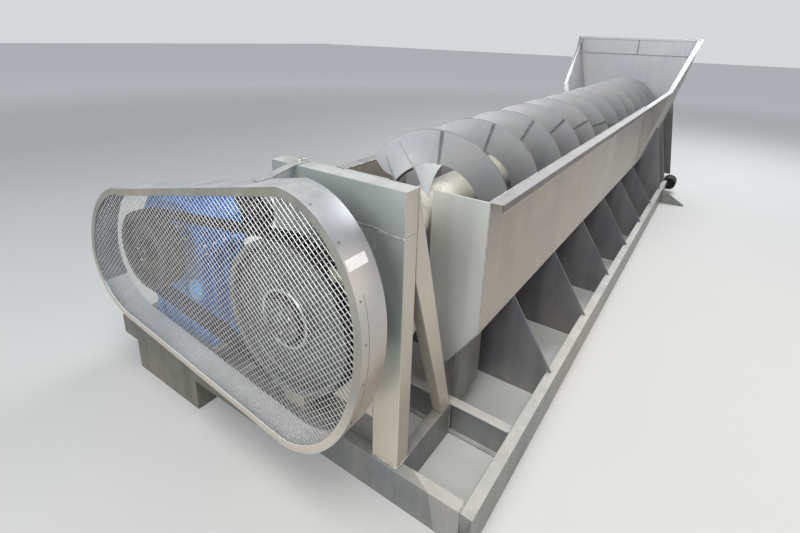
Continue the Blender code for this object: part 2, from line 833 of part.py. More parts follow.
def inside_guard(x, z, inset):
    """True where a point lies at least inset inside the guard's outline."""
    outline = guard_outline(inset)
    crossings = 0
    for (x1, z1), (x2, z2) in zip(outline, outline[1:] + outline[:1]):
        if (z1 > z) != (z2 > z):
            crossings += x < x1 + (z - z1) * (x2 - x1) / (z2 - z1)
    return crossings % 2 == 1


def guard_top(x):
    """The height of the guard's straight top sheet."""
    (right, low_right), (_, high_right) = GUARD_QUARTERS[1][:2]
    (left, low_left), (_, high_left) = GUARD_QUARTERS[2][:2]
    share = (x - left) / (right - left)
    return (low_left + high_left) * (1 - share) + (low_right + high_right) * share


def make_guard_stay():
    """A bent flat bar from the head beam's top to the guard's top sheet."""
    x = -0.250
    width = 0.045
    seat = guard_top(x + width) + GAP
    top = HEAD_TOP_Z + GAP
    thick = 0.006
    under = [(0.095, top), (0.010, top), (-0.13, seat), (-0.20, seat)]
    outline = under + [(y, z + thick) for y, z in reversed(under)]
    plate("guard_stay", [outline], width, (x, 0, 0), (0, 1, 0), (0, 0, 1), "guard_steel")


# Motor and deck


def make_deck():
    """A welded frame on the left rail that carries the motor, with feet on the floor at its outer end."""
    right = -(SKID_HALF - FLANGE)
    low = SKID_HEIGHT + GAP
    high = DECK_TOP_Z
    beam = 0.10
    front, back = DECK_FRONT_Y, DECK_BACK_Y
    inside = (front + 0.02, back - 0.02)
    frame = box("motor_deck", (DECK_LEFT_X, front, low), (-0.24, front + beam, high), "painted_steel")
    beams = {
        "deck_rear": (DECK_LEFT_X, right, back - beam, back),
        "deck_left": (DECK_LEFT_X + 0.03, -1.50, *inside),
        "deck_right": (-1.00, -0.90, *inside),
    }
    helpers = []
    for name, (x1, x2, y1, y2) in beams.items():
        helpers.append(box(name, (x1, y1, low), (x2, y2, high), None, CUTTERS))
    join_with(frame, helpers)
    floor_gap = low - GAP
    for name, start in (("front", front), ("rear", back - 0.14)):
        box(f"deck_foot_{name}", (-1.51, start, 0), (-0.883, start + 0.14, floor_gap), "painted_steel")
    box(
        "deck_plate",
        (DECK_LEFT_X + 0.05, DECK_FRONT_Y + 0.11, high + GAP),
        (-0.83, DECK_BACK_Y, high + 0.014),
        "painted_steel",
    )


def unit_half(name, inner, outer, points):
    """Half of the gear unit's housing, from its outline on the right of its middle line."""
    middle = (UNIT_X[0] + UNIT_X[1]) / 2
    right = [(middle + x, z) for x, z in points]
    left = [(middle - x, z) for x, z in reversed(points)]
    plate(name, [right + left], outer - inner, (0, outer, 0), (1, 0, 0), (0, 0, 1), "motor_blue")


def make_motor():
    """The drive's geared motor: a split housing on the deck and the motor behind it."""
    half = (UNIT_X[1] - UNIT_X[0]) / 2
    low = DECK_TOP_Z + 0.014 + GAP
    front, back = UNIT_Y
    edge = 0.018
    foot = [(half + 0.04, low), (half + 0.04, low + 0.028), (half, low + 0.028)]
    wide, split = half + UNIT_FLANGE, UNIT_SPLIT_Z
    lip = [(half, split - edge), (wide, split - edge), (wide, split - GAP)]
    unit_half("gear_unit_base", front, back, foot + lip)
    lip = [(wide, split), (wide, split + edge), (half, split + edge)]
    lid = [(half, UNIT_TOP_Z - 0.09), (half - 0.08, UNIT_TOP_Z)]
    unit_half("gear_unit_cover", front, back, lip + lid)
    shell = [
        (0, 0),
        (MOTOR_RADIUS + 0.02, 0),
        (MOTOR_RADIUS + 0.02, 0.02),
        (MOTOR_RADIUS, 0.02),
        (MOTOR_RADIUS, MOTOR_LENGTH),
        (MOTOR_RADIUS - 0.03, MOTOR_LENGTH + 0.05),
        (0, MOTOR_LENGTH + 0.05),
    ]
    middle = (UNIT_X[0] + UNIT_X[1]) / 2
    lay_along_y(turned("motor", shell, "motor_blue"), middle, back + GAP, UNIT_SPLIT_Z)


# Drain and ground bracket


def make_drain():
    """A short open pipe carried on the right rail's end face."""
    radius, bore, length, deep = 0.088, 0.070, 0.205, 0.10
    profile = [(0, deep), (bore, deep), (bore, 0), (radius, 0), (radius, length), (0, length)]
    pipe = turned("drain_pipe", profile, "black_rubber", steps=28)
    lay_along_y(pipe, 0.790, SKID_END_Y + GAP, 0.160)


def make_ground_bracket():
    """The wedge plate that reaches the floor outside the right rail."""
    outline = [(SKID_HALF + GAP, 0), (1.05, 0), (1.05, 0.022), (SKID_HALF + GAP, 0.190)]
    plate("ground_bracket", [outline], 0.014, (0, 5.800, 0), (1, 0, 0), (0, 0, 1), "painted_steel")


def main():
    make_skid()
    make_saddles()
    both_sides(make_front_leg)
    make_drive_frame()
    both_sides(make_wall)
    both_sides(make_cheek)
    make_floor()
    make_spout()
    both_sides(make_hopper_side)
    make_hopper_end()
    make_hopper_rim()
    make_shaft()
    make_flight()
    make_end_bearing()
    make_gear_case()
    case_face = POST_FRONT_Y + POST_DEPTH - GAP
    make_pulley("large_pulley", PULLEY_BIG, PULLEY_BIG_RADIUS, 0.075, case_face, PULLEY_SHAFT_RADIUS)
    make_pulley("small_pulley", PULLEY_SMALL, PULLEY_SMALL_RADIUS, 0.065, UNIT_Y[0] - 2 * GAP, 0.05)
    make_belt()
    make_guard_hoop()
    make_guard_mesh()
    make_guard_stay()
    make_deck()
    make_motor()
    make_drain()
    make_ground_bracket()


main()
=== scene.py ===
import json
import math
import random
import bmesh
import bpy
from mathutils import Matrix, Vector

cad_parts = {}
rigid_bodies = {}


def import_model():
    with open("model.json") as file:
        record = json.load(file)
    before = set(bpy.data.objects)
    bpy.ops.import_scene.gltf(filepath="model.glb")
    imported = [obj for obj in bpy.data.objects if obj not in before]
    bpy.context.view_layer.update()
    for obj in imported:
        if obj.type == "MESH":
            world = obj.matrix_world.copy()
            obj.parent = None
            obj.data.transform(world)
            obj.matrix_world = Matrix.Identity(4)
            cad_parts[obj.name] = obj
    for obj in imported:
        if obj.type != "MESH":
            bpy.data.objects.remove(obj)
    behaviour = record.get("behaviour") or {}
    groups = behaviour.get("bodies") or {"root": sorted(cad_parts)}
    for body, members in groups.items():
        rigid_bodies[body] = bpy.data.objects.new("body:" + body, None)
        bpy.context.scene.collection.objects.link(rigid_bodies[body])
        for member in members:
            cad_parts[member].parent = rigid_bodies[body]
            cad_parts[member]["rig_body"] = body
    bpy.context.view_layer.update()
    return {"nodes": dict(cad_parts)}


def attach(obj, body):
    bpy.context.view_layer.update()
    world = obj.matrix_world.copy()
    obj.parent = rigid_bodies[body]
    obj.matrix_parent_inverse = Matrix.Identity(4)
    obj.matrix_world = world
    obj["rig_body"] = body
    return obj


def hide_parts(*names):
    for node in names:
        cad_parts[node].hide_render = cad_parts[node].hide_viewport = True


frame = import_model()
random.seed(11)
pi = math.pi

# where things are, in metres, as in the CAD
place = {
    "screwZ": 1.190, "flightOuter": 0.428, "flightInner": 0.233, "flightPitch": 0.480, "flightTurns": 11.6,
    "flightFront": 0.780, "flightAngle": math.radians(149), "shaftRadius": 0.125, "shaftFront": 0.330,
    "bigPulley": (-0.035, 0.980), "bigRadius": 0.345, "smallPulley": (-1.130, 0.955), "smallRadius": 0.215,
    "beltFront": -0.250, "beltBack": -0.155, "guardFront": -0.283, "guardBack": -0.133, "seamY": 5.05,
    "endY": 6.49, "unitX": (-1.460, -0.915), "unitY": (-0.060, 0.229), "unitSplit": 0.955, "unitTop": 1.185,
    "motorX": -1.1875, "motorRadius": 0.155, "motorY": (0.2293, 0.5793),
}

# the camera stands ahead of the drive end, a little to the right and above
view = {"spot": (1.295, -1.377, 2.113), "yaw": 34.328, "pitch": -18.3, "roll": 1.822,
        "lens": 21.27, "shiftX": -0.0004, "shiftY": -0.0957}


def addCamera():
    yaw, pitch, roll = [math.radians(view[key]) for key in ("yaw", "pitch", "roll")]
    right = Vector((math.cos(yaw), math.sin(yaw), 0))
    ahead = Vector((-math.sin(yaw), math.cos(yaw), 0)) * math.cos(pitch) + Vector((0, 0, math.sin(pitch)))
    up = right.cross(ahead)
    rolledRight = right * math.cos(roll) + up * math.sin(roll)
    rolledUp = up * math.cos(roll) - right * math.sin(roll)
    lensData = bpy.data.cameras.new("camera")
    lensData.lens = view["lens"]
    lensData.sensor_width = 36
    lensData.shift_x, lensData.shift_y = view["shiftX"], view["shiftY"]
    camera = bpy.data.objects.new("camera", lensData)
    bpy.context.scene.collection.objects.link(camera)
    facing = Matrix((rolledRight, rolledUp, -ahead)).transposed().to_4x4()
    camera.matrix_world = Matrix.Translation(view["spot"]) @ facing
    bpy.context.scene.camera = camera


# studio light: soft lamps above, ahead, behind and to the left, and a low warm one on the right
studio = {
    "key": {"spot": (1.5, -2.0, 7.5), "aim": (0, 1.8, 0.6), "size": 4.0, "watts": 300,
            "tint": (1.0, 0.98, 0.95)},
    "front": {"spot": (0.5, -7.0, 5.0), "aim": (0, 1.5, 1.2), "size": 5.0, "watts": 520,
              "tint": (0.98, 0.99, 1.0)},
    "sky": {"spot": (-4.5, -1.5, 5.5), "aim": (-0.3, 1.5, 0.8), "size": 5.0, "watts": 60,
            "tint": (0.84, 0.92, 1.0)},
    "back": {"spot": (1.5, 8.5, 6.5), "aim": (0, 5.0, 1.0), "size": 5.0, "watts": 520,
             "tint": (0.95, 0.98, 1.0)},
    "low": {"spot": (4.5, 2.0, 2.2), "aim": (0.4, 2.5, 0.9), "size": 4.0, "watts": 36,
            "tint": (1.0, 0.82, 0.66), "spread": 110},
}
surround = {"soft": (0.82, 0.90, 1.0), "strength": 0.22, "backdrop": (0.66, 0.69, 0.72)}


def addLights():
    for name, lamp in studio.items():
        data = bpy.data.lights.new(name, "AREA")
        data.energy = lamp["watts"]
        data.size = lamp["size"]
        data.spread = math.radians(lamp.get("spread", 180))
        data.color = lamp["tint"]
        light = bpy.data.objects.new(name, data)
        bpy.context.scene.collection.objects.link(light)
        light.location = lamp["spot"]
        aim = Vector(lamp["aim"]) - light.location
        light.rotation_euler = aim.to_track_quat("-Z", "Y").to_euler()
    world = bpy.data.worlds.new("studio")
    bpy.context.scene.world = world
    world.use_nodes = True
    tree = world.node_tree
    soft = tree.nodes["Background"]
    soft.inputs["Color"].default_value = (*surround["soft"], 1)
    soft.inputs["Strength"].default_value = surround["strength"]
    backdrop = tree.nodes.new("ShaderNodeBackground")
    backdrop.inputs["Color"].default_value = (*surround["backdrop"], 1)
    blend = tree.nodes.new("ShaderNodeMixShader")
    seen = tree.nodes.new("ShaderNodeLightPath").outputs["Is Camera Ray"]
    for socket, source in zip(blend.inputs, (seen, soft.outputs[0], backdrop.outputs[0])):
        tree.links.new(source, socket)
    tree.links.new(blend.outputs[0], tree.nodes["World Output"].inputs["Surface"])


addCamera()
addLights()
bpy.context.scene.view_settings.view_transform = "Standard"
print("camera and lights")


# node wiring, kept short: a socket is linked, anything else is set
def feed(tree, value, socket):
    if isinstance(value, bpy.types.NodeSocket):
        tree.links.new(value, socket)
    else:
        socket.default_value = value


def addNode(tree, kind, **settings):
    node = tree.nodes.new(kind)
    for key, value in settings.items():
        if key in node.inputs:
            feed(tree, value, node.inputs[key])
        else:
            setattr(node, key, value)
    return node


def addNoise(tree, spot, scale, detail, rough=0.5, bend=0.0):
    return addNode(tree, "ShaderNodeTexNoise", Vector=spot, Scale=scale, Detail=detail, Roughness=rough,
                   Distortion=bend).outputs["Fac"]


def mixColour(tree, factor, first, second):
    mix = addNode(tree, "ShaderNodeMix", data_type="RGBA")
    feed(tree, factor, mix.inputs["Factor"])
    for socket, colour in ((mix.inputs[6], first), (mix.inputs[7], second)):
        feed(tree, (*colour, 1) if isinstance(colour, tuple) else colour, socket)
    return mix.outputs[2]


def mapRange(tree, value, low, high, toLow=0.0, toHigh=1.0):
    settings = {"Value": value, "From Min": low, "From Max": high, "To Min": toLow, "To Max": toHigh}
    return addNode(tree, "ShaderNodeMapRange", **settings).outputs["Result"]


def calc(tree, operation, first, second, kind="ShaderNodeMath"):
    node = addNode(tree, kind, operation=operation)
    feed(tree, first, node.inputs[0])
    feed(tree, second, node.inputs[1])
    return node.outputs[0]


def heightOf(tree, vector):
    return addNode(tree, "ShaderNodeSeparateXYZ", Vector=vector).outputs["Z"]


def newGroup(name, inputs, outputs):
    # inputs hold their first values; a triple or None makes a vector
    tree = bpy.data.node_groups.new(name, "ShaderNodeTree")
    for label, value in inputs.items():
        kind = "NodeSocketFloat" if isinstance(value, float) else "NodeSocketVector"
        socket = tree.interface.new_socket(label, in_out="INPUT", socket_type=kind)
        if value is not None:
            socket.default_value = value
    for label in outputs:
        tree.interface.new_socket(label, in_out="OUTPUT", socket_type="NodeSocketFloat")
    return tree, tree.nodes.new("NodeGroupInput").outputs, tree.nodes.new("NodeGroupOutput").inputs


# brushed and rolled plate: fine lines along one direction, cloudy tone and soft handling marks
def makePlateGroup():
    inputs = {"Vector": None, "Grain": (90, 90, 3), "Cloud Scale": 2.2, "Run Stretch": (9, 9, 0.8)}
    tree, start, end = newGroup("plateFinish", inputs, ("Lines", "Cloud", "Runs", "Marks", "Height"))
    spot = start["Vector"]
    grain, stretch = [calc(tree, "MULTIPLY", spot, start[key], "ShaderNodeVectorMath")
                      for key in ("Grain", "Run Stretch")]
    lines = addNoise(tree, grain, 1.0, 3.0, 0.6)
    cloud = addNoise(tree, spot, start["Cloud Scale"], 4.0, 0.55, 0.6)
    runs = addNoise(tree, stretch, 1.0, 3.0)
    marks = addNoise(tree, spot, 23.0, 6.0, 0.7, 1.4)
    height = calc(tree, "ADD", calc(tree, "MULTIPLY", lines, 0.5), calc(tree, "MULTIPLY", cloud, 0.6))
    results = {"Lines": lines, "Cloud": mapRange(tree, cloud, 0.35, 0.68), "Height": height,
               "Runs": mapRange(tree, runs, 0.38, 0.66), "Marks": mapRange(tree, marks, 0.60, 0.74)}
    for key, value in results.items():
        feed(tree, value, end[key])
    return tree


# dust that gathers low down, and on faces that look up a patchy mask of dust mixed with painted light from
# above
def makeDustAndTopLightGroup():
    tree, start, end = newGroup("settledDustAndTopLight", {"Vector": None, "Low": 0.0, "High": 0.35}, ("Dust", "Top"))
    fade = mapRange(tree, heightOf(tree, start["Vector"]), start["Low"], start["High"], 1.0, 0.0)
    patch = addNoise(tree, start["Vector"], 7.0, 5.0, 0.65)
    up = heightOf(tree, tree.nodes.new("ShaderNodeNewGeometry").outputs["Normal"])
    dust = calc(tree, "MULTIPLY", fade, mapRange(tree, patch, 0.35, 0.7))
    # painted light mixed with dust: faces that look up lighten in patches towards the top colour
    top = calc(tree, "MULTIPLY", mapRange(tree, up, 0.6, 0.98), mapRange(tree, patch, 0.25, 0.6, 0.4, 1.0))
    feed(tree, dust, end["Dust"])
    feed(tree, top, end["Top"])
    return tree


plateFinish = makePlateGroup()
settledDustAndTopLight = makeDustAndTopLightGroup()


def startMaterial(name):
    material = bpy.data.materials.new(name)
    material.use_nodes = True
    tree = material.node_tree
    spot = tree.nodes.new("ShaderNodeTexCoord").outputs["Object"]
    return material, tree, tree.nodes["Principled BSDF"], spot


def feedShader(tree, shader, tone, rough, metal, height, strength, depth):
    bump = addNode(tree, "ShaderNodeBump", Strength=strength, Distance=depth, Height=height)
    values = {"Base Color": tone, "Roughness": rough, "Metallic": metal, "Normal": bump.outputs["Normal"]}
    for key, value in values.items():
        feed(tree, value, shader.inputs[key])


def plateSteel(name, look):
    material, tree, shader, spot = startMaterial(name)
    stretch = {"Grain": look["grain"], "Cloud Scale": look["cloud"], "Run Stretch": look["runs"]}
    plate = addNode(tree, "ShaderNodeGroup", node_tree=plateFinish, Vector=spot, **stretch).outputs
    dust = addNode(tree, "ShaderNodeGroup", node_tree=settledDustAndTopLight, Vector=spot, High=look["dustHigh"]).outputs
    layers = [(plate["Runs"], "runAmount", "runColour"), (plate["Marks"], "markAmount", "markColour"),
              (dust["Dust"], "dustAmount", "dustColour"), (dust["Top"], "topDustAndLight", "topDustAndLightColour")]
    tone = mixColour(tree, plate["Cloud"], look["cool"], look["warm"])
    for mask, amount, colour in layers:
        tone = mixColour(tree, calc(tree, "MULTIPLY", mask, look[amount]), tone, look[colour])
    # painted light: towards the bottom the tone blends into a painted bounce light on most plates, and into a
    # painted shade on the hopper's end
    low, high = look["paintedLowLightHigh"] - look["paintedLowLightBelow"], look["paintedLowLightHigh"] + look["paintedLowLightAbove"]
    paintedLowLight = mapRange(tree, heightOf(tree, spot), low, high, look["paintedLowLight"], 0.0)
    tone = mixColour(tree, paintedLowLight, tone, look["paintedLowLightColour"])
    low, high = look["rough"] - look["roughLess"], look["rough"] + look["roughMore"]
    rough = mapRange(tree, plate["Lines"], 0.25, 0.75, low, high)
    for mask, amount in ((dust["Top"], "dustRough"), (plate["Marks"], "markRough")):
        rough = calc(tree, "ADD", rough, calc(tree, "MULTIPLY", mask, look[amount]))
    metal = mapRange(tree, dust["Top"], 0.0, 1.0, look["metal"], look["metal"] * look["dustMetal"])
    feedShader(tree, shader, tone, rough, metal, plate["Height"], look["bump"], look["depth"])
    return material


# what all plates share; looks holds only what is different on each
base = {
    "grain": (70, 70, 2.5), "cloud": 1.8, "runs": (11, 11, 0.7), "cool": (0.40, 0.43, 0.43),
    "warm": (0.50, 0.47, 0.43), "runColour": (0.56, 0.55, 0.52), "runAmount": 0.45,
    "markColour": (0.24, 0.24, 0.23), "markAmount": 0.16, "topDustAndLightColour": (0.72, 0.71, 0.68), "topDustAndLight": 0.65,
    "dustHigh": 0.28, "rough": 0.42, "metal": 0.60, "bump": 0.16, "paintedLowLight": 0.0, "paintedLowLightHigh": 1.10,
    "paintedLowLightColour": (0.46, 0.39, 0.31), "paintedLowLightBelow": 0.18, "paintedLowLightAbove": 0.12, "dustAmount": 0.55,
    "dustColour": (0.36, 0.32, 0.26), "dustRough": 0.18, "dustMetal": 0.55, "markRough": 0.10,
    "roughLess": 0.06, "roughMore": 0.08, "depth": 0.0012,
}
# the low colour keys paint bounce light low on the frame, braces, trough, guard and its lip, and shade low on
# the hopper's end
looks = {
    "frame_plate": {"cool": (0.33, 0.375, 0.365), "warm": (0.385, 0.415, 0.40), "runAmount": 0.25,
                    "runColour": (0.46, 0.47, 0.45), "paintedLowLight": 0.9, "paintedLowLightHigh": 0.78,
                    "paintedLowLightColour": (0.62, 0.56, 0.46)},
    "brace_plate": {"cool": (0.44, 0.43, 0.40), "warm": (0.52, 0.48, 0.42), "paintedLowLight": 0.5, "paintedLowLightHigh": 1.2,
                    "paintedLowLightColour": (0.60, 0.54, 0.44)},
    "skid_plate": {"cool": (0.17, 0.20, 0.21), "warm": (0.25, 0.24, 0.21), "topDustAndLightColour": (0.42, 0.40, 0.36),
                   "dustHigh": 0.10, "runColour": (0.36, 0.35, 0.33), "runAmount": 0.3},
    "rail_plate": {"cool": (0.18, 0.21, 0.22), "warm": (0.27, 0.26, 0.235), "topDustAndLightColour": (0.64, 0.62, 0.57),
                   "dustHigh": 0.10, "runColour": (0.36, 0.35, 0.33), "runAmount": 0.3},
    "trough_plate": {"runs": (6, 2.3, 0.35), "cool": (0.30, 0.28, 0.26), "warm": (0.41, 0.36, 0.31),
                     "runColour": (0.48, 0.46, 0.42), "topDustAndLightColour": (0.50, 0.50, 0.53), "paintedLowLight": 0.4,
                     "paintedLowLightHigh": 0.86, "paintedLowLightColour": (0.54, 0.51, 0.46)},
    "lip_painted_shade": {"grain": (70, 3, 70), "cool": (0.12, 0.11, 0.105), "warm": (0.16, 0.145, 0.135),
                 "runAmount": 0.2, "runColour": (0.26, 0.24, 0.22), "topDustAndLightColour": (0.52, 0.52, 0.54)},
    "box_plate": {"cool": (0.10, 0.105, 0.09), "warm": (0.15, 0.145, 0.12), "runAmount": 0.3,
                  "runColour": (0.30, 0.29, 0.26), "topDustAndLightColour": (0.40, 0.38, 0.34)},
    "beam_painted_sunlight": {"cool": (0.30, 0.31, 0.31), "warm": (0.38, 0.36, 0.34), "runAmount": 0.3,
                   "topDustAndLightColour": (0.60, 0.57, 0.52)},
    "hoop_painted_sunlight": {"cool": (0.84, 0.86, 0.89), "warm": (0.90, 0.90, 0.90), "rough": 0.4, "metal": 0.2,
                    "dustHigh": 0.0},
    # painted shade: the darker, warmer finish for the hopper's outside faces and skirts
    "hopper_side": {"cool": (0.26, 0.25, 0.235), "warm": (0.38, 0.35, 0.30), "runColour": (0.46, 0.43, 0.38)},
    "hoop_shade": {"cool": (0.12, 0.13, 0.13), "warm": (0.18, 0.18, 0.17), "rough": 0.5, "metal": 0.3,
                   "dustHigh": 0.0},
    "rim_plate": {"grain": (70, 3, 70), "cool": (0.48, 0.50, 0.52), "warm": (0.54, 0.54, 0.53), "rough": 0.50,
                  "topDustAndLightColour": (0.56, 0.56, 0.56)},
    "hopper_end_painted_shade": {"cool": (0.47, 0.49, 0.53), "warm": (0.53, 0.53, 0.54), "rough": 0.50, "metal": 0.55,
                    "paintedLowLight": 0.9, "paintedLowLightHigh": 1.30, "paintedLowLightColour": (0.10, 0.10, 0.10)},
    "hopper_plate": {"cool": (0.47, 0.49, 0.53), "warm": (0.53, 0.53, 0.54), "rough": 0.50, "metal": 0.55,
                     "runs": (5, 5, 1.6)},
    "cheek_plate": {"cool": (0.66, 0.69, 0.68), "warm": (0.74, 0.74, 0.72), "grain": (110, 110, 2),
                    "runAmount": 0.5},
    "flight_plate": {"grain": (26, 40, 26), "cool": (0.41, 0.445, 0.455), "warm": (0.46, 0.46, 0.49),
                     "runs": (5, 3, 5), "runAmount": 0.35, "markAmount": 0.22, "topDustAndLight": 0.25,
                     "dustHigh": 0.0, "rough": 0.46},
    "guard_sheet": {"grain": (8, 90, 8), "cool": (0.43, 0.46, 0.50), "warm": (0.48, 0.49, 0.50),
                    "rough": 0.34, "metal": 0.75, "topDustAndLight": 0.35, "runs": (3, 2, 3), "dustHigh": 0.0,
                    "paintedLowLight": 0.8, "paintedLowLightHigh": 1.08, "paintedLowLightColour": (0.50, 0.42, 0.34)},
    "lip_plate": {"grain": (40, 90, 40), "cool": (0.21, 0.21, 0.185), "warm": (0.27, 0.26, 0.22),
                  "rough": 0.40, "metal": 0.4, "dustHigh": 0.0, "runAmount": 0.2, "paintedLowLight": 0.9,
                  "paintedLowLightHigh": 0.72, "paintedLowLightColour": (0.56, 0.51, 0.44)},
    "saddle_plate": {"cool": (0.15, 0.165, 0.195), "warm": (0.24, 0.23, 0.23), "markAmount": 0.3,
                     "topDustAndLightColour": (0.32, 0.30, 0.28), "runColour": (0.30, 0.30, 0.30)},
}
coats = {name: plateSteel(name, {**base, **changes}) for name, changes in looks.items()}
print("plate finishes:", len(coats))


# plain finishes with their own wear
def simpleFinish(name, look):
    material, tree, shader, spot = startMaterial(name)
    fine = addNoise(tree, spot, look["scale"], 6.0, 0.6, 0.4)
    tone = mixColour(tree, mapRange(tree, fine, look["from"], look["to"]), look["main"], look["worn"])
    rough = mapRange(tree, fine, 0.3, 0.7, look["rough"] - 0.07, look["rough"] + 0.10)
    grit = addNoise(tree, spot, look["grit"], 3.0)
    feedShader(tree, shader, tone, rough, look["metal"], grit, look["bump"], 0.001)
    return material


finishKeys = ("main", "worn", "scale", "from", "to", "rough", "metal", "grit", "bump")
finishes = {
    "shaft_paint": ((0.66, 0.64, 0.57), (0.40, 0.36, 0.29), 9, 0.56, 0.72, 0.5, 0.1, 160, 0.25),
    "weld_bead": ((0.52, 0.53, 0.53), (0.30, 0.28, 0.27), 40, 0.45, 0.65, 0.38, 0.85, 240, 0.5),
    "seam_steel": ((0.27, 0.30, 0.30), (0.36, 0.37, 0.37), 30, 0.5, 0.7, 0.5, 0.5, 240, 0.3),
    "rim_painted_shade": ((0.17, 0.17, 0.18), (0.12, 0.12, 0.12), 30, 0.5, 0.7, 0.55, 0.5, 240, 0.3),
    "dark_weld": ((0.20, 0.21, 0.22), (0.38, 0.38, 0.38), 50, 0.5, 0.7, 0.45, 0.7, 240, 0.6),
    "mesh_wire": ((0.50, 0.51, 0.50), (0.40, 0.39, 0.36), 20, 0.5, 0.7, 0.36, 0.6, 300, 0.1),
    "pulley_iron": ((0.15, 0.16, 0.155), (0.21, 0.21, 0.20), 14, 0.42, 0.66, 0.5, 0.6, 380, 0.35),
    "dark_iron": ((0.045, 0.042, 0.040), (0.11, 0.10, 0.09), 14, 0.42, 0.66, 0.5, 0.4, 380, 0.35),
    "machined_iron": ((0.55, 0.56, 0.56), (0.42, 0.41, 0.39), 18, 0.5, 0.7, 0.30, 0.9, 380, 0.12),
    "belt_rubber": ((0.015, 0.015, 0.016), (0.06, 0.058, 0.055), 22, 0.5, 0.75, 0.72, 0.0, 700, 0.3),
    "cap_blue_painted_highlight": ((0.10, 0.40, 0.80), (0.18, 0.46, 0.80), 12, 0.4, 0.7, 0.36, 0.0, 420, 0.18),
    "motor_blue": ((0.010, 0.10, 0.38), (0.030, 0.20, 0.52), 7, 0.4, 0.7, 0.36, 0.0, 420, 0.18),
    "motor_grey": ((0.035, 0.040, 0.045), (0.09, 0.09, 0.09), 9, 0.45, 0.7, 0.42, 0.1, 420, 0.2),
    "zinc_bolt": ((0.58, 0.57, 0.52), (0.34, 0.30, 0.25), 60, 0.5, 0.7, 0.36, 0.9, 300, 0.15),
    "black_part": ((0.02, 0.02, 0.02), (0.07, 0.065, 0.06), 25, 0.5, 0.7, 0.55, 0.1, 300, 0.3),
    "olive_coat": ((0.16, 0.17, 0.12), (0.28, 0.28, 0.22), 30, 0.45, 0.7, 0.5, 0.2, 300, 0.2),
    "floor_plate": ((0.20, 0.20, 0.20), (0.34, 0.31, 0.27), 5, 0.4, 0.65, 0.6, 0.3, 200, 0.3),
    "label_white": ((0.80, 0.80, 0.78), (0.66, 0.65, 0.60), 30, 0.5, 0.75, 0.45, 0.0, 500, 0.05),
}
for name, values in finishes.items():
    coats[name] = simpleFinish(name, dict(zip(finishKeys, values)))
print("other finishes:", len(finishes))


# how a new piece joins the model
def addPiece(name, data, coat, body="frame", stands=(), smooth=35):
    if isinstance(data, bpy.types.Mesh):
        data.polygons.foreach_set("use_smooth", [True] * len(data.polygons))
        data.set_sharp_from_angle(angle=math.radians(smooth))
    data.materials.append(coats[coat])
    piece = bpy.data.objects.new(name, data)
    bpy.context.scene.collection.objects.link(piece)
    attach(piece, body)
    if stands:
        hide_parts(*stands)
    return piece


def meshFrom(shape, name):
    bmesh.ops.recalc_face_normals(shape, faces=shape.faces)
    mesh = bpy.data.meshes.new(name)
    shape.to_mesh(mesh)
    shape.free()
    return mesh


def roundEdges(piece, width, segments=2, angle=30):
    bevel = piece.modifiers.new("edges", "BEVEL")
    bevel.width = width
    bevel.segments = segments
    bevel.limit_method = "ANGLE"
    bevel.angle_limit = math.radians(angle)
    bevel.harden_normals = True
    return bevel


def paintFaces(piece, coat, test):
    # faces that still have the first coat take this one where the test holds
    piece.data.materials.append(coats[coat])
    for face in piece.data.polygons:
        if face.material_index == 0 and test(face):
            face.material_index = len(piece.data.materials) - 1


def onCircle(centre, radius, angle, y=0.0):
    return centre[0] + radius * math.cos(angle), y, centre[1] + radius * math.sin(angle)


def circle(centre, radius, count, y, first=0.0):
    return [onCircle(centre, radius, 2 * pi * (i + first) / count, y) for i in range(count)]


def spread(first, last, count):
    return [first + (last - first) * i / (count - 1) for i in range(count)]


def joinRings(shape, rings, closed=False, ends=True):
    # sides between rings of points; an open row of rings gets a face at each end
    rings = [[shape.verts.new(point) for point in ring] for ring in rings]
    for first, second in zip(rings, rings[1:] + rings[:1] if closed else rings[1:]):
        for i in range(len(first)):
            j = (i + 1) % len(first)
            shape.faces.new((first[i], first[j], second[j], second[i]))
    if ends and not closed:
        shape.faces.new(rings[0][::-1])
        shape.faces.new(rings[-1])
    return rings


def ringMesh(name, rings, closed=False):
    shape = bmesh.new()
    joinRings(shape, rings, closed)
    return meshFrom(shape, name)


def sweepLoop(name, section, line, steps):
    # section holds (inset, y); line gives the loop for an inset
    return ringMesh(name, [[(x, y, z) for x, z in line(inset, steps)] for inset, y in section], True)


def addPrism(shape, outline, shift):
    joinRings(shape, [outline, [Vector(point) + Vector(shift) for point in outline]])


def addBlock(shape, low, high, turn=Matrix()):
    size = Vector(high) - Vector(low)
    middle = (Vector(low) + Vector(high)) / 2
    matrix = turn @ Matrix.Translation(middle) @ Matrix.Diagonal((*size, 1))
    return bmesh.ops.create_cube(shape, size=1, matrix=matrix)["verts"]


def blockMesh(name, blocks):
    shape = bmesh.new()
    for low, high in blocks:
        addBlock(shape, low, high)
    return meshFrom(shape, name)


def turnedMesh(name, profile, steps, centre, start):
    # profile holds (radius, distance along +Y from start)
    shape = bmesh.new()
    rings = [[shape.verts.new(onCircle(centre, radius, 2 * pi * i / steps, start + distance))
              for i in range(steps if radius else 1)] for radius, distance in profile]
    for first, second in zip(rings, rings[1:]):
        for i in range(steps):
            j = (i + 1) % steps
            corners = [ring[k % len(ring)] for ring, k in ((first, i), (first, j), (second, j), (second, i))]
            corners = list(dict.fromkeys(corners))
            if len(corners) > 2:
                shape.faces.new(corners)
    return meshFrom(shape, name)


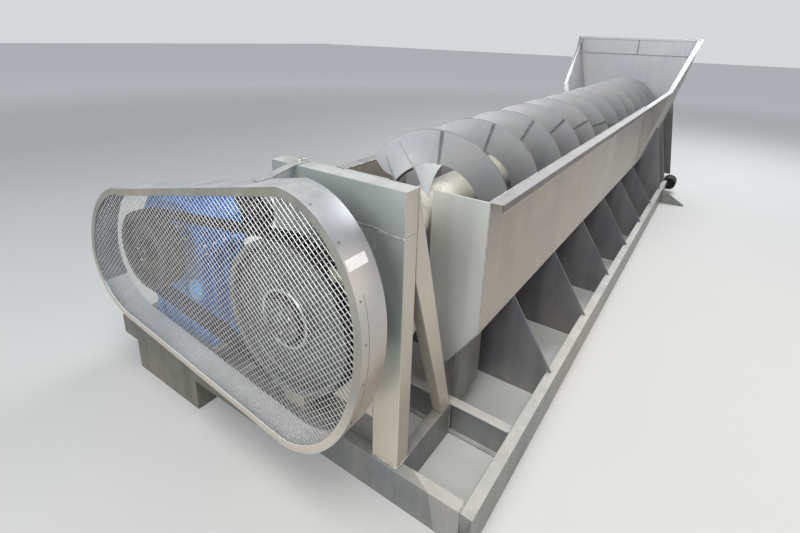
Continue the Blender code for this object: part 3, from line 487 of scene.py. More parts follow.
def beads(name, lines, radius, coat, body="frame", step=0.008, rough=0.22):
    # weld beads: each line is a list of points, followed with a ripple
    curve = bpy.data.curves.new(name, "CURVE")
    curve.dimensions = "3D"
    curve.bevel_depth = radius
    curve.bevel_resolution = 1
    curve.use_fill_caps = True
    for line in lines:
        points = []
        for a, b in zip(line, line[1:]):
            a, b = Vector(a), Vector(b)
            count = max(1, round((b - a).length / step))
            points += [a.lerp(b, i / count) for i in range(count)]
        points.append(Vector(line[-1]))
        spline = curve.splines.new("POLY")
        spline.points.add(len(points) - 1)
        for i, (target, point) in enumerate(zip(spline.points, points)):
            target.co = (*point, 1)
            target.radius = 1 + rough * math.sin(i * 2.1) + 0.5 * rough * random.uniform(-1, 1)
    return addPiece(name, curve, coat, body)


def addBolt(shape, spot, axis, size, head=0.65, washer=True):
    # a hexagon head on a washer, standing on spot and facing along axis, all in shares of its size
    base = Matrix.Translation(spot) @ Vector(axis).normalized().to_track_quat("Z", "Y").to_matrix().to_4x4()
    low, high = 0.16 * washer, head * 2
    cones = [(20, 1.05, 1.05, 0.0, low)] * washer
    cones += [(6, 0.88, 0.88, low, high * 0.8), (6, 0.88, 0.70, low + high * 0.8, high * 0.2)]
    for sides, wide, narrow, start, depth in cones:
        matrix = base @ Matrix.Translation((0, 0, size * (start + depth / 2)))
        bmesh.ops.create_cone(shape, cap_ends=True, segments=sides, radius1=size * wide,
                              radius2=size * narrow, depth=size * depth, matrix=matrix)


def boltRow(name, rows, size, coat, body="frame", head=0.5, washer=True):
    # rows hold (spots, axis)
    shape = bmesh.new()
    for spots, axis in rows:
        for spot in spots:
            addBolt(shape, spot, axis, size, head, washer)
    return addPiece(name, meshFrom(shape, name), coat, body)


# a CAD plate with its edges eased and its own finish
def dressNode(node, coat, edge=0.002, segments=2):
    source = frame["nodes"][node]
    shape = bmesh.new()
    shape.from_mesh(source.data)
    bmesh.ops.remove_doubles(shape, verts=shape.verts, dist=0.00002)
    bmesh.ops.dissolve_limit(shape, angle_limit=math.radians(0.8), verts=shape.verts, edges=shape.edges)
    mesh = meshFrom(shape, node)
    piece = addPiece(node + "_finish", mesh, coat, source["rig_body"], (node,))
    if node.startswith("hopper_side"):
        # painted shade: the outside of the hopper is painted as dark and warm as the trough
        paintFaces(piece, "hopper_side",
                   lambda face: face.normal.x * face.center.x > 0 and abs(face.normal.x) > 0.5)
    if node == "hopper_end":
        # painted shade: the lower front of the end plate is painted darker towards the bottom, where the
        # hopper shades it
        paintFaces(piece, "hopper_end_painted_shade", lambda face: face.normal.y < -0.9)
    roundEdges(piece, edge, segments)


dressed = {
    "brace_plate": ["brace_left", "brace_right"],
    "rail_plate": ["brace_beam", "rail_left", "rail_right"],
    "skid_plate": ["front_beam", "inner_rail_left", "inner_rail_right", "ground_bracket"],
    "box_plate": ["motor_deck", "deck_foot_front", "deck_foot_rear", "deck_plate"],
    "saddle_plate": [f"saddle_{i}" for i in range(1, 9)],
    "trough_plate": ["wall_left", "wall_right"],
    "rim_plate": ["hopper_rim"],
    "cheek_plate": ["cheek_left", "cheek_right", "spout"],
    "hopper_plate": ["hopper_side_left", "hopper_side_right", "ledge_left", "ledge_right", "hopper_end",
                     "weir_band"],
    "hopper_side": ["skirt_left", "skirt_right"],
    "guard_sheet": ["guard_stay"],
}
edgeWidth = {"brace_plate": 0.003, "skid_plate": 0.003, "rail_plate": 0.003, "trough_plate": 0.0025,
             "guard_sheet": 0.0015}
for look, nodes in dressed.items():
    for node in nodes:
        dressNode(node, look, edgeWidth.get(look, 0.002))
print("dressed plates:", sum(len(nodes) for nodes in dressed.values()))


def holedPlate(name, front, back, low, high, centre, hole, steps=48):
    # a plate with a round hole: each point of the hole is carried straight out to the plate's edge
    shape = bmesh.new()
    outline = [low, (high[0], low[1]), high, (low[0], high[1])]
    turns = [math.atan2(z - centre[1], x - centre[0]) % (2 * pi) / (2 * pi) * steps for x, z in outline]
    for y in (front, back):
        inside = [shape.verts.new(point) for point in circle(centre, hole, steps, y)]
        outside = []
        for i in range(steps):
            ways = math.cos(2 * pi * i / steps), math.sin(2 * pi * i / steps)
            reach = min(((high if way > 0 else low)[k] - centre[k]) / way for k, way in enumerate(ways)
                        if abs(way) > 1e-6)
            outside.append(shape.verts.new(onCircle(centre, reach, 2 * pi * i / steps, y)))
        corners = [shape.verts.new((x, y, z)) for x, z in outline]
        for i in range(steps):
            j = (i + 1) % steps
            shape.faces.new((inside[i], inside[j], outside[j], outside[i]))
            for corner, turn in zip(corners, turns):
                if i <= turn < i + 1:
                    shape.faces.new((outside[i], outside[j], corner))
    bmesh.ops.remove_doubles(shape, verts=shape.verts, dist=0.00001)
    for reach in (hole + 0.001, 9):
        edges = [edge for edge in shape.edges if len(edge.link_faces) == 1
                 and (edge.verts[0].co.xz - Vector(centre)).length < reach]
        bmesh.ops.bridge_loops(shape, edges=edges)
    return meshFrom(shape, name)


# the drive frame's posts, head and plate, parted where the real weld is
driveFrame = {"half": 0.374, "inner": 0.229, "front": 0.015, "back": 0.105, "low": 0.2003, "seam": 1.362,
              "top": 1.552, "parting": 0.0002, "plateLow": 0.420, "plateGap": 0.0003, "plateThick": 0.012,
              "hole": 0.072}


def makeDriveFrame():
    at = driveFrame
    half, inner, near, far, seam = [at[key] for key in ("half", "inner", "front", "back", "seam")]
    top = seam - at["parting"]
    posts = [((-half, near, at["low"]), (-inner, far, top)), ((inner, near, at["low"]), (half, far, top))]
    head = [((-half, near, seam), (half, far, at["top"]))]
    for name, blocks, stands, edge in (("posts", posts, ("post_left", "post_right"), 0.004),
                                       ("head", head, ("head_beam",), 0.003)):
        mesh = blockMesh(name, blocks)
        piece = addPiece("drive_frame_" + name, mesh, "frame_plate", "frame", stands)
        # painted light: the side faces take the lighter, warmer brace finish, for the warm light they catch
        paintFaces(piece, "brace_plate", lambda face: abs(face.normal.x) > 0.9)
        roundEdges(piece, edge, 3)
    # the plate between the posts, with the pulley shaft's hole
    reach = inner - at["plateGap"]
    mesh = holedPlate("plate", near, near + at["plateThick"], (-reach, at["plateLow"]), (reach, top),
                      place["bigPulley"], at["hole"])
    addPiece("drive_frame_plate", mesh, "frame_plate", "frame", ("drive_plate",))


makeDriveFrame()

# front legs, with a slope where they pass under the cheeks
leg = {"inner": 0.334, "outer": 0.374, "face": 0.5843, "behind": 0.6183, "back": 0.86, "low": 0.15,
       "step": 0.30, "under": 0.525, "top": 0.8911}
legLine = [("face", "low"), ("back", "low"), ("back", "top"), ("behind", "top"), ("behind", "under"),
           ("face", "step")]
for side, name in ((-1, "left"), (1, "right")):
    shape = bmesh.new()
    addPrism(shape, [(side * leg["inner"], leg[y], leg[z]) for y, z in legLine],
             (side * (leg["outer"] - leg["inner"]), 0, 0))
    piece = addPiece("trough_leg_" + name, meshFrom(shape, "leg"), "skid_plate", "frame",
                     ("front_leg_" + name,))
    roundEdges(piece, 0.003)

# the rims' turned-down lips, their dark finish painted shade on the tilted faces
rimLip = {"inner": 0.5165, "outer": 0.5235, "low": 1.312, "top": 1.3633, "front": 0.6180, "back": 5.046}
lipLine = [("inner", "low", 0.004), ("outer", "low", 0.014), ("outer", "top", 0), ("inner", "top", 0)]
shape = bmesh.new()
for side in (-1, 1):
    outline = [(side * rimLip[x], rimLip["front"], rimLip[z] + rise) for x, z, rise in lipLine]
    addPrism(shape, outline, (0, rimLip["back"] - rimLip["front"], 0))
roundEdges(addPiece("trough_rim_lips", meshFrom(shape, "rimLips"), "lip_painted_shade"), 0.0015)

# front beam: a painted sunlit end, and two dark vertical marks
beamSunlitEnd = {"topLeft": 0.430, "edgeLeft": 0.551, "lowLeft": 0.592, "right": 0.7095, "back": 0.059, "top": 0.2,
           "low": 0.001, "proud": 0.0004}
edgeLeft, right, low, top, proud = [beamSunlitEnd[key] for key in ("edgeLeft", "right", "low", "top", "proud")]
shape = bmesh.new()
addPrism(shape, [(beamSunlitEnd["topLeft"], beamSunlitEnd["back"], top), (edgeLeft, 0, top), (right, 0, top),
                 (right, beamSunlitEnd["back"], top)], (0, 0, proud))
addPrism(shape, [(edgeLeft, 0, top + proud), (beamSunlitEnd["lowLeft"], 0, low), (right, 0, low),
                 (right, 0, top + proud)], (0, -proud, 0))
addPiece("front_beam_painted_sunlit_end", meshFrom(shape, "beamSunlitEnd"), "beam_painted_sunlight")
markSpots = ((0.224, 0.013, 0.099), (0.378, 0.032, 0.135))
marks = [((x - 0.004, -0.001, low), (x + 0.004, 0, high)) for x, low, high in markSpots]
addPiece("front_beam_marks", blockMesh("beamMarks", marks), "dark_weld")

# guard: the sheet hoop with its turned-in lip, its fine mesh, its label plate and screws
guard = {"sheet": 0.005, "lip": 0.038, "lipThick": 0.004, "steps": 28, "left": -1.72, "low": 0.32,
         "width": 2.14, "height": 1.27, "cellWide": 0.034, "cellHigh": 0.031, "strandWide": 0.0025,
         "strandDeep": 0.0018, "strandOver": 0.0008, "twist": 32, "wireY": -0.2768, "trimY": -0.2735,
         "trimIn": 0.030, "screws": (-72, -50, -31.5, -13.1, 1.7, 20.3, 46, 68), "screwIn": 0.021,
         "seam": (-78, 23, 5), "seamIn": 0.042}
# the outline in quarters: centre, reach, start angle and power, where 2 is an ellipse
quarters = [((-0.074, 1.041), (0.480, 0.714), -90, 2), ((-0.004, 1.041), (0.410, 0.528), 0, 2),
            ((-1.251, 0.786), (0.452, 0.510), 90, 1.75), ((-1.310, 0.786), (0.393, 0.329), 180, 2)]


def guardLine(inset, steps):
    points = []
    for (x, z), (wide, high), first, power in quarters:
        for i in range(0 if first % 180 else 1, steps + 1):
            angle = math.radians(first + 90 * i / steps)
            ways = (math.cos(angle), math.sin(angle))
            across, up = [math.copysign(abs(way) ** (2 / power), way) for way in ways]
            points.append((x + (wide - inset) * across, z + (high - inset) * up))
    return points


def insideLoop(point, loop):
    crossings = 0
    for a, b in zip(loop, loop[1:] + loop[:1]):
        if (a[1] > point.z) != (b[1] > point.z):
            crossings += point.x < a[0] + (b[0] - a[0]) * (point.z - a[1]) / (b[1] - a[1])
    return crossings % 2 == 1


front, back = place["guardFront"], place["guardBack"]
sheet, lip, lipBack = guard["sheet"], guard["lip"], front + guard["lipThick"]
section = [(0, back), (0, front + 0.002), (0.0006, front + 0.0006), (0.002, front), (lip, front),
           (lip, lipBack), (sheet, lipBack), (sheet, back)]
mesh = sweepLoop("hoop", section, guardLine, guard["steps"])
hoop = addPiece("guard_hoop_sheet", mesh, "guard_sheet", "frame", ("guard_hoop",))
paintFaces(hoop, "lip_plate", lambda face: abs(face.normal.y) > 0.8)
paintFaces(hoop, "hoop_shade",
           lambda face: face.center.x < -1.2 and face.normal.x > 0.25 and face.normal.z < 0.6)
# painted sunlight: the upward inside faces of the hoop's lower part are painted bright
paintFaces(hoop, "hoop_painted_sunlight", lambda face: face.center.z < 1.0 and face.normal.z > 0.3)


def makeWire():
    # expanded metal: each strand is a thin bar that leans a little, meeting its neighbours at the knots
    loop = guardLine(guard["sheet"] + 0.0005, 14)
    wide, high = guard["cellWide"], guard["cellHigh"]
    tilt = math.radians(guard["twist"])
    depthWay = Vector((0, 1, 0))
    level = Vector((0, guard["wireY"], 0))
    square = ((-1, -1), (1, -1), (1, 1), (-1, 1))
    shape = bmesh.new()
    for i in range(int(guard["width"] / wide * 2) + 2):
        for j in range(i % 2, int(guard["height"] / high * 2) + 2, 2):
            knot = Vector((guard["left"] + i * wide / 2, 0, guard["low"] + j * high / 2))
            for lean in (1, -1):
                tip = knot + Vector((wide / 2, 0, lean * high / 2))
                if not (insideLoop(knot, loop) and insideLoop(tip, loop)):
                    continue
                along = (tip - knot).normalized()
                side = depthWay.cross(along) * math.cos(tilt) + depthWay * math.sin(tilt) * lean
                deep = side.cross(along) * guard["strandDeep"] / 2
                side *= guard["strandWide"] / 2
                over = along * guard["strandOver"]
                joinRings(shape, [[end + level + side * s + deep * d for s, d in square]
                                  for end in (knot - over, tip + over)])
    return meshFrom(shape, "wire")


wire = addPiece("guard_wire", makeWire(), "mesh_wire", "frame", ("guard_mesh",))
print("guard mesh:", len(wire.data.polygons), "faces")

# a round trim bar behind the lip, where the mesh is held
trimLine = [(x, guard["trimY"], z) for x, z in guardLine(guard["trimIn"], 20)]
beads("guard_mesh_trim", [trimLine + trimLine[:1]], 0.0022, "mesh_wire", "frame", 0.02, 0.0)


def hoopPoint(degrees, y, out=0.0):
    angle = math.radians(degrees)
    (x, z), (wide, high) = quarters[1 if angle > 0 else 0][:2]
    point = Vector((x + wide * math.cos(angle), y, z + high * math.sin(angle)))
    normal = Vector((math.cos(angle) / wide, 0, math.sin(angle) / high)).normalized()
    return point + normal * out, normal


# a thin blank plate bent to the hoop
label = {"low": 33.0, "high": 38.0, "front": -0.275, "back": -0.168, "under": 0.0004, "face": 0.0014}
corners = [("front", "under"), ("back", "under"), ("back", "face"), ("front", "face")]
rows = [[hoopPoint(degrees, label[y], label[out])[0] for y, out in corners]
        for degrees in spread(label["low"], label["high"], 7)]
addPiece("guard_blank_label", ringMesh("label", rows), "label_white")

# screws that hold the mesh lip, and the seam where the hoop's sheet closes
shape = bmesh.new()
for degrees in guard["screws"]:
    spot, normal = hoopPoint(degrees, front + guard["screwIn"])
    addBolt(shape, spot, normal, 0.0055, 0.35, False)
addPiece("guard_screws", meshFrom(shape, "guardScrews"), "dark_weld")
seamLine = [hoopPoint(degrees, front + guard["seamIn"], 0.0002)[0] for degrees in range(*guard["seam"])]
beads("guard_hoop_seam", [seamLine], 0.0011, "dark_weld", "frame", 0.02, 0.1)
# a tab inside the lip that holds the mesh
tab = {"low": (0.248, -0.2742, 1.272), "high": (0.312, -0.2700, 1.322), "screw": (0.280, -0.2742, 1.300)}
shape = bmesh.new()
addBlock(shape, tab["low"], tab["high"])
addBolt(shape, tab["screw"], (0, -1, 0), 0.006, 0.35, False)
addPiece("guard_tab", meshFrom(shape, "tab"), "olive_coat")

# belts: four V-belts side by side where the CAD has one band
belts = {"count": 4, "deep": 0.011, "clear": 0.0012, "wideTop": 0.0165, "wideLow": 0.011,
         "groove": 0.011, "land": 0.003}


def loopRound(first, firstRadius, second, secondRadius, inset, steps):
    # the line of a band drawn round two circles
    gap = Vector(second) - Vector(first)
    lie = math.atan2(gap.y, gap.x)
    side = math.acos((firstRadius - secondRadius) / gap.length)
    ends = ((second, secondRadius, lie - side, lie + side),
            (first, firstRadius, lie + side, lie - side + 2 * pi))
    return [onCircle(centre, radius - inset, angle)[::2] for centre, radius, start, stop in ends
            for angle in spread(start, stop, steps + 1)]


def beltLine(inset, steps):
    return loopRound(place["smallPulley"], place["smallRadius"], place["bigPulley"], place["bigRadius"],
                     inset, steps)


pitch = (place["beltBack"] - place["beltFront"]) / belts["count"]
shape = bmesh.new()
for i in range(belts["count"]):
    middle = place["beltFront"] + (i + 0.5) * pitch
    low, high = -belts["clear"], -belts["clear"] - belts["deep"]
    wideLow, wideTop = belts["wideLow"] / 2, belts["wideTop"] / 2
    section = [(low, middle - wideLow), (low, middle + wideLow), (high, middle + wideTop),
               (high, middle - wideTop)]
    shape.from_mesh(sweepLoop("strip", section, beltLine, 30))
addPiece("drive_belts", meshFrom(shape, "belts"), "belt_rubber", "frame", ("belt",))
print("guard and belts")

# pulleys: grooved rims, turned webs, hubs with a clamping bush
pulleys = {
    "large": {"centre": place["bigPulley"], "radius": place["bigRadius"], "hub": 0.098, "bush": 0.078,
              "shaftEnd": 0.1047, "shaftRadius": 0.060, "body": "drive_pulley", "look": "pulley_iron"},
    "small": {"centre": place["smallPulley"], "radius": place["smallRadius"], "hub": 0.065, "bush": 0.052,
              "shaftEnd": -0.0606, "shaftRadius": 0.050, "body": "motor_pulley", "look": "dark_iron"},
}


def makePulley(name, pulley):
    radius, hub, bush, shaft = [pulley[key] for key in ("radius", "hub", "bush", "shaftRadius")]
    start = place["beltFront"] - 0.01
    width = place["beltBack"] - place["beltFront"] + 0.02
    end = pulley["shaftEnd"] - start
    middle = width / 2
    profile = [(0, -0.012), (bush * 0.42, -0.012), (bush * 0.45, -0.010), (bush * 0.45, -0.004),
               (bush, -0.004), (bush, -0.010), (hub - 0.003, -0.012), (hub, -0.009), (hub, middle - 0.018),
               (hub + 0.006, middle - 0.012), (radius - 0.036, middle - 0.012),
               (radius - 0.030, middle - 0.018), (radius - 0.028, 0.002), (radius - 0.026, 0),
               (radius - 0.002, 0), (radius, 0.002)]
    step = width / belts["count"]
    groove, land = radius - belts["groove"], belts["land"]
    for i in range(belts["count"]):
        edge = i * step
        profile += [(radius, edge + land), (groove, edge + step * 0.34), (groove, edge + step * 0.66),
                    (radius, edge + step - land)]
    profile += [(radius - 0.002, width), (radius - 0.026, width), (radius - 0.030, middle + 0.018),
                (radius - 0.036, middle + 0.012), (hub + 0.006, middle + 0.012), (hub, middle + 0.018),
                (hub, width - 0.004), (shaft, width - 0.002), (shaft, end), (0, end)]
    mesh = turnedMesh(name, profile, 96, pulley["centre"], start)
    piece = f"{name}_belt_pulley"
    addPiece(piece, mesh, pulley["look"], pulley["body"], (f"{name}_pulley",), 28)
    shape = bmesh.new()
    for i in range(3):
        spot = onCircle(pulley["centre"], bush * 0.74, 0.5 + i * 2 * pi / 3, start - 0.004)
        addBolt(shape, spot, (0, -1, 0), bush * 0.12, 0.4, False)
    x, z = pulley["centre"]
    addBlock(shape, (x - bush * 0.09, start - 0.0125, z + bush * 0.30),
             (x + bush * 0.09, start - 0.0065, z + bush * 0.50))
    mesh = meshFrom(shape, name + "Screws")
    addPiece(piece + "_bush_screws", mesh, "machined_iron", pulley["body"])


for name, pulley in pulleys.items():
    makePulley(name, pulley)
# turned ring on the large pulley's web
webY = (place["beltFront"] + place["beltBack"]) / 2 - 0.012
ring = [(0.120, 0.0), (0.120, -0.036), (0.123, -0.039), (0.133, -0.039), (0.136, -0.036), (0.136, 0.0)]
mesh = turnedMesh("ring", ring, 96, place["bigPulley"], webY)
addPiece("large_pulley_turned_ring", mesh, "machined_iron", "drive_pulley")
print("pulleys")

# screw: one plate ribbon in laps, each lap joined by a welded strip
screw = {"perTurn": 96, "plate": 0.010, "rimSoft": 0.0015, "tip": 0.06, "lapFirst": 63.5, "lapStep": 371.5,
         "lapWide": 0.016, "lapProud": 0.003}
turnPerMetre = 2 * pi / place["flightPitch"]


def helixPoint(radius, angle, lift=0.0):
    # angle counts forward along the screw from the front tip; lift is off the plate, towards the drive
    theta = place["flightAngle"] - angle
    y = place["flightFront"] + angle / turnPerMetre
    point = Vector(onCircle((0, place["screwZ"]), radius, theta, y))
    along = Vector((math.sin(theta), 1 / (turnPerMetre * radius), -math.cos(theta))).normalized()
    out = Vector((math.cos(theta), 0, math.sin(theta)))
    normal = out.cross(along)
    if normal.y > 0:
        normal = -normal
    return point + normal * lift, normal, along, out


def ribbonMesh(name, start, stop, inner, outer, low, high, steps, tip=0.0):
    # a plate between two lifts, from one angle to another; tip bends the first edge to a point
    middle = (inner + outer) / 2
    section = ((inner, low), (inner, high), (middle, high), (outer, high), (outer, low), (middle, low))
    rows = []
    for i, angle in enumerate(spread(start, stop, steps + 1)):
        rows.append([helixPoint(radius, angle - (tip if i == 0 and radius == middle else 0), lift)[0]
                     for radius, lift in section])
    shape = bmesh.new()
    rows = joinRings(shape, rows, ends=False)
    for row in (rows[0], rows[-1]):
        for corners in ((0, 1, 2, 5), (5, 2, 3, 4)):
            shape.faces.new([row[k] for k in corners])
    return meshFrom(shape, name)


half = screw["plate"] / 2
inner, outer = place["flightInner"], place["flightOuter"]
total = place["flightTurns"] * 2 * pi
steps = round(place["flightTurns"] * screw["perTurn"])
mesh = ribbonMesh("flight", 0.0, total, inner, outer, -half, half, steps, screw["tip"])
flight = addPiece("screw_flight", mesh, "flight_plate", "screw",
                  [f"flight_{i}" for i in range(1, 6)], 30)


def isRim(face):
    away = Vector((face.center.x, 0, face.center.z - place["screwZ"]))
    return away.length > outer - 0.001 and face.normal.dot(away.normalized()) > 0.9


# painted shade: the cut rim of the plate is painted darker than its faces
paintFaces(flight, "rim_painted_shade", isRim)
roundEdges(flight, screw["rimSoft"], 2, 50).material = 1

# lap strips and their weld lines, one to a turn
shape = bmesh.new()
lapLines = []
halfTurn = screw["lapWide"] / (inner + outer)
for lap in range(12):
    angle = math.radians(screw["lapFirst"] + lap * screw["lapStep"])
    if angle + 0.1 > total:
        break
    shape.from_mesh(ribbonMesh("lap", angle - halfTurn, angle + halfTurn, inner + 0.004, outer - 0.003, half,
                               half + screw["lapProud"], 3))
    lapLines.append([helixPoint(radius, angle + halfTurn, half + 0.002)[0]
                     for radius in spread(inner + 0.006, outer - 0.006, 9)])
addPiece("screw_lap_strips", meshFrom(shape, "laps"), "dark_weld", "screw", (), 30)
beads("screw_lap_welds", lapLines, 0.0026, "weld_bead", "screw", 0.006, 0.35)

# patch plate near the front tip, raised on the ribbon, with its weld and a strip beside it
patch = {"outer": ((0.396, 26), (0.377, 10)), "inner": ((0.226, 28), (0.228, -1)), "thick": 0.006, "steps": 8,
         "under": 0.0002, "strip": 0.12, "stripThick": 0.0015}
eighths = spread(0, 1, 9)


def patchPoint(share, across, lift):
    # share runs along the ribbon, across from its inner edge to its outer edge; lift is off the plate
    ends = [[first + (second - first) * share for first, second in zip(*patch[key])]
            for key in ("inner", "outer")]
    radius, angle = [a + (b - a) * across for a, b in zip(*ends)]
    return helixPoint(radius, math.radians(angle), half + lift)[0]


def plateBetween(name, corner, steps):
    # a closed plate from a function of two shares and a lift
    shape = bmesh.new()
    shares = spread(0, 1, steps + 1)
    grids = [[[shape.verts.new(corner(u, v, lift)) for v in shares] for u in shares] for lift in (0, 1)]
    low, high = grids
    for i in range(steps):
        for j in range(steps):
            for grid in grids:
                shape.faces.new((grid[i][j], grid[i + 1][j], grid[i + 1][j + 1], grid[i][j + 1]))
        for j in (0, steps):
            shape.faces.new((low[i][j], low[i + 1][j], high[i + 1][j], high[i][j]))
            shape.faces.new((low[j][i], low[j][i + 1], high[j][i + 1], high[j][i]))
    return meshFrom(shape, name)


def patchPlate(u, v, lift):
    return patchPoint(u, v, patch["under"] + lift * patch["thick"])


def stripPlate(u, v, lift):
    return patchPoint(1.0 + patch["strip"] * u, v, patch["under"] + lift * patch["stripThick"])


mesh = plateBetween("patch", patchPlate, patch["steps"])
addPiece("screw_patch_plate", mesh, "flight_plate", "screw", (), 30)
edges = [[patchPoint(0, share, 0.001) for share in eighths],
         [patchPoint(share, 1, 0.001) for share in eighths]]
beads("screw_patch_weld", edges, 0.0018, "dark_weld", "screw", 0.006, 0.3)
mesh = plateBetween("patch_strip", stripPlate, patch["steps"])
addPiece("screw_patch_strip", mesh, "seam_steel", "screw", (), 30)
# painted shadow: a black bead along the patch's inner edge stands for the shadow under the ribbon's inner rim
shadowLine = [patchPoint(share, 0.0, 0.004) for share in eighths]
beads("screw_patch_painted_shadow", [shadowLine], 0.0080, "black_part", "screw", 0.006, 0.1)

# shaft: pipe with end journals, rings and the bars that carry the ribbon
pipe = place["shaftRadius"]
length = place["endY"] - 0.045 - place["shaftFront"]
profile = [(0, 0), (pipe - 0.03, 0), (pipe - 0.026, 0.003), (pipe - 0.004, 0.003), (pipe, 0.007),
           (pipe, length - 0.108), (pipe - 0.006, length - 0.10), (0.058, length - 0.10),
           (0.055, length - 0.096), (0.055, length - 0.002), (0.053, length), (0, length)]
mesh = turnedMesh("shaft", profile, 72, (0, place["screwZ"]), place["shaftFront"])
addPiece("screw_pipe_shaft", mesh, "shaft_paint", "screw", ("screw_shaft",), 30)
rings = [circle((0, place["screwZ"]), pipe + 0.001, 40, y) for y in (0.66, 1.92, 3.18, 4.44, 5.70)]
rings = [ring + ring[:1] for ring in rings]
beads("shaft_ring_welds", rings, 0.005, "shaft_paint", "screw", 0.008, 0.25)

arms = {"count": 23, "first": 0.20 * pi, "thick": 0.012, "wideRoot": 0.062, "wideTip": 0.046, "over": 0.012,
        "sunk": 0.006, "weldUp": 0.006, "boltUp": 0.030}
shape = bmesh.new()
armWelds = []
armBolts = bmesh.new()
for i in range(1, arms["count"]):
    tip, normal, along, out = helixPoint(inner + arms["over"], arms["first"] + i * pi)
    root = tip + out * (pipe - arms["sunk"] - inner - arms["over"])
    near, far = -normal * half, -normal * (half + arms["thick"])
    joinRings(shape, [[point + along * s * wide / 2 + lift
                       for s, lift in ((-1, near), (1, near), (1, far), (-1, far))]
                      for point, wide in ((root, arms["wideRoot"]), (tip, arms["wideTip"]))])
    armWelds.append([root + out * arms["weldUp"] + along * s * arms["wideRoot"] / 2 + far for s in (-1, 1)])
    armWelds.append([tip + along * s * arms["wideTip"] / 2 + near for s in (-1, 1)])
    addBolt(armBolts, root + out * arms["boltUp"] + far, -normal, 0.009, 0.6)
armPiece = addPiece("screw_arms", meshFrom(shape, "arms"), "shaft_paint", "screw")
roundEdges(armPiece, 0.002)
beads("screw_arm_welds", armWelds, 0.005, "weld_bead", "screw", 0.007, 0.3)
addPiece("screw_arm_bolts", meshFrom(armBolts, "armBolts"), "black_part", "screw")

# the first arm is a curved, tapering plate from the ribbon's inner edge forward to the shaft
horn = {"left": 30, "right": 68, "radius": 0.236, "tip": (0.090, 0.640, 1.273), "bend": (0.012, 0.770, 1.352),
        "thick": 0.008, "steps": 12, "faces": (0.3, 0.8, 0.5), "tipEdge": (0.004, 0, -0.002)}


def hornPoint(down, across, lift):
    def onEdge(degrees):
        return helixPoint(horn["radius"], math.radians(degrees))[0]

    first, second = onEdge(horn["left"]), onEdge(horn["right"])
    top = onEdge(horn["left"] + (horn["right"] - horn["left"]) * across)
    tip, bend = Vector(horn["tip"]), Vector(horn["bend"])
    left = first.lerp(tip, down)
    right = second * (1 - down) ** 2 + bend * 2 * down * (1 - down) + tip * down ** 2
    spot = left.lerp(right, across) + (top - first.lerp(second, across)) * (1 - down)
    rise = Vector(horn["faces"]).normalized() * lift * horn["thick"]
    return spot + rise + Vector(horn["tipEdge"]) * across * down


mesh = plateBetween("horn", hornPoint, horn["steps"])
addPiece("screw_first_arm", mesh, "flight_plate", "screw", (), 40)
hornWeld = [hornPoint(0.02, share, 0) for share in eighths]
beads("screw_first_arm_weld", [hornWeld], 0.003, "weld_bead", "screw", 0.006, 0.3)
print("screw")

# the rest of the CAD nodes take a finish of their own and eased edges
others = {
    "trough_floor": ("floor_plate", 0.002, 2), "end_bearing": ("pulley_iron", 0.010, 3),
    "gear_case": ("shaft_paint", 0.006, 3), "gear_unit_base": ("motor_blue", 0.006, 3),
    "gear_unit_cover": ("motor_blue", 0.010, 3), "drain_pipe": ("black_part", 0.003, 2),
}
for node, (look, edge, segments) in others.items():
    dressNode(node, look, edge, segments)

# geared motor: flange bolts, boss and ribs on the front, covers, eyes and feet
upward, downward, forward, backward = (0, 0, 1), (0, 0, -1), (0, -1, 0), (0, 1, 0)
unit = {"base": 0.372, "lid": 0.010, "cap": (-0.985, 0.690), "capRadius": 0.062, "ribHalf": 0.007,
        "lipOut": 0.015, "lipIn": 0.025, "lipHalf": 0.018, "footOut": 0.021, "footIn": 0.05,
        "footTop": 0.3723}
(x1, x2), (y1, y2) = place["unitX"], place["unitY"]
split, top = place["unitSplit"], place["unitTop"]
midX, midY = (x1 + x2) / 2, (y1 + y2) / 2
lidTop = top + unit["lid"]
zinc = "zinc_bolt"
lipX = (x1 - unit["lipOut"], x2 + unit["lipOut"])
lipY = spread(y1 + unit["lipIn"], y2 - unit["lipIn"], 5)
lipSpots = [(x, y, split + unit["lipHalf"]) for x in lipX for y in lipY]
lipUnder = [(x, y, split - unit["lipHalf"]) for x, y, z in lipSpots]
footX, footY = (x1 - unit["footOut"], x2 + unit["footOut"]), (y1 + unit["footIn"], y2 - unit["footIn"])
footSpots = [(x, y, unit["footTop"]) for x in footX for y in footY]
boltRow("gear_unit_bolts", [(lipSpots, upward), (lipUnder, downward), (footSpots, upward)], 0.010, zinc)

boss = [(0.056, 0.0), (0.056, -0.022), (0.060, -0.026), (0.098, -0.026), (0.102, -0.022), (0.102, -0.012),
        (0.120, -0.010), (0.120, 0.0)]
addPiece("gear_unit_boss", turnedMesh("boss", boss, 64, place["smallPulley"], y1), "motor_blue")
# the end cap's light blue is the unit's blue with a painted highlight
cap = [(0, -0.024), (0.030, -0.024), (0.044, -0.021), (0.048, -0.014), (unit["capRadius"] - 0.002, -0.012),
       (unit["capRadius"], -0.010), (unit["capRadius"], 0.0)]
addPiece("gear_unit_end_cap", turnedMesh("endCap", cap, 48, unit["cap"], y1), "cap_blue_painted_highlight")
bossSpots = circle(place["smallPulley"], 0.111, 8, y1 - 0.010, 0.5)
capSpots = circle(unit["cap"], 0.055, 6, y1 - 0.012)
boltRow("gear_unit_boss_bolts", [(bossSpots, forward), (capSpots, forward)], 0.006, zinc)

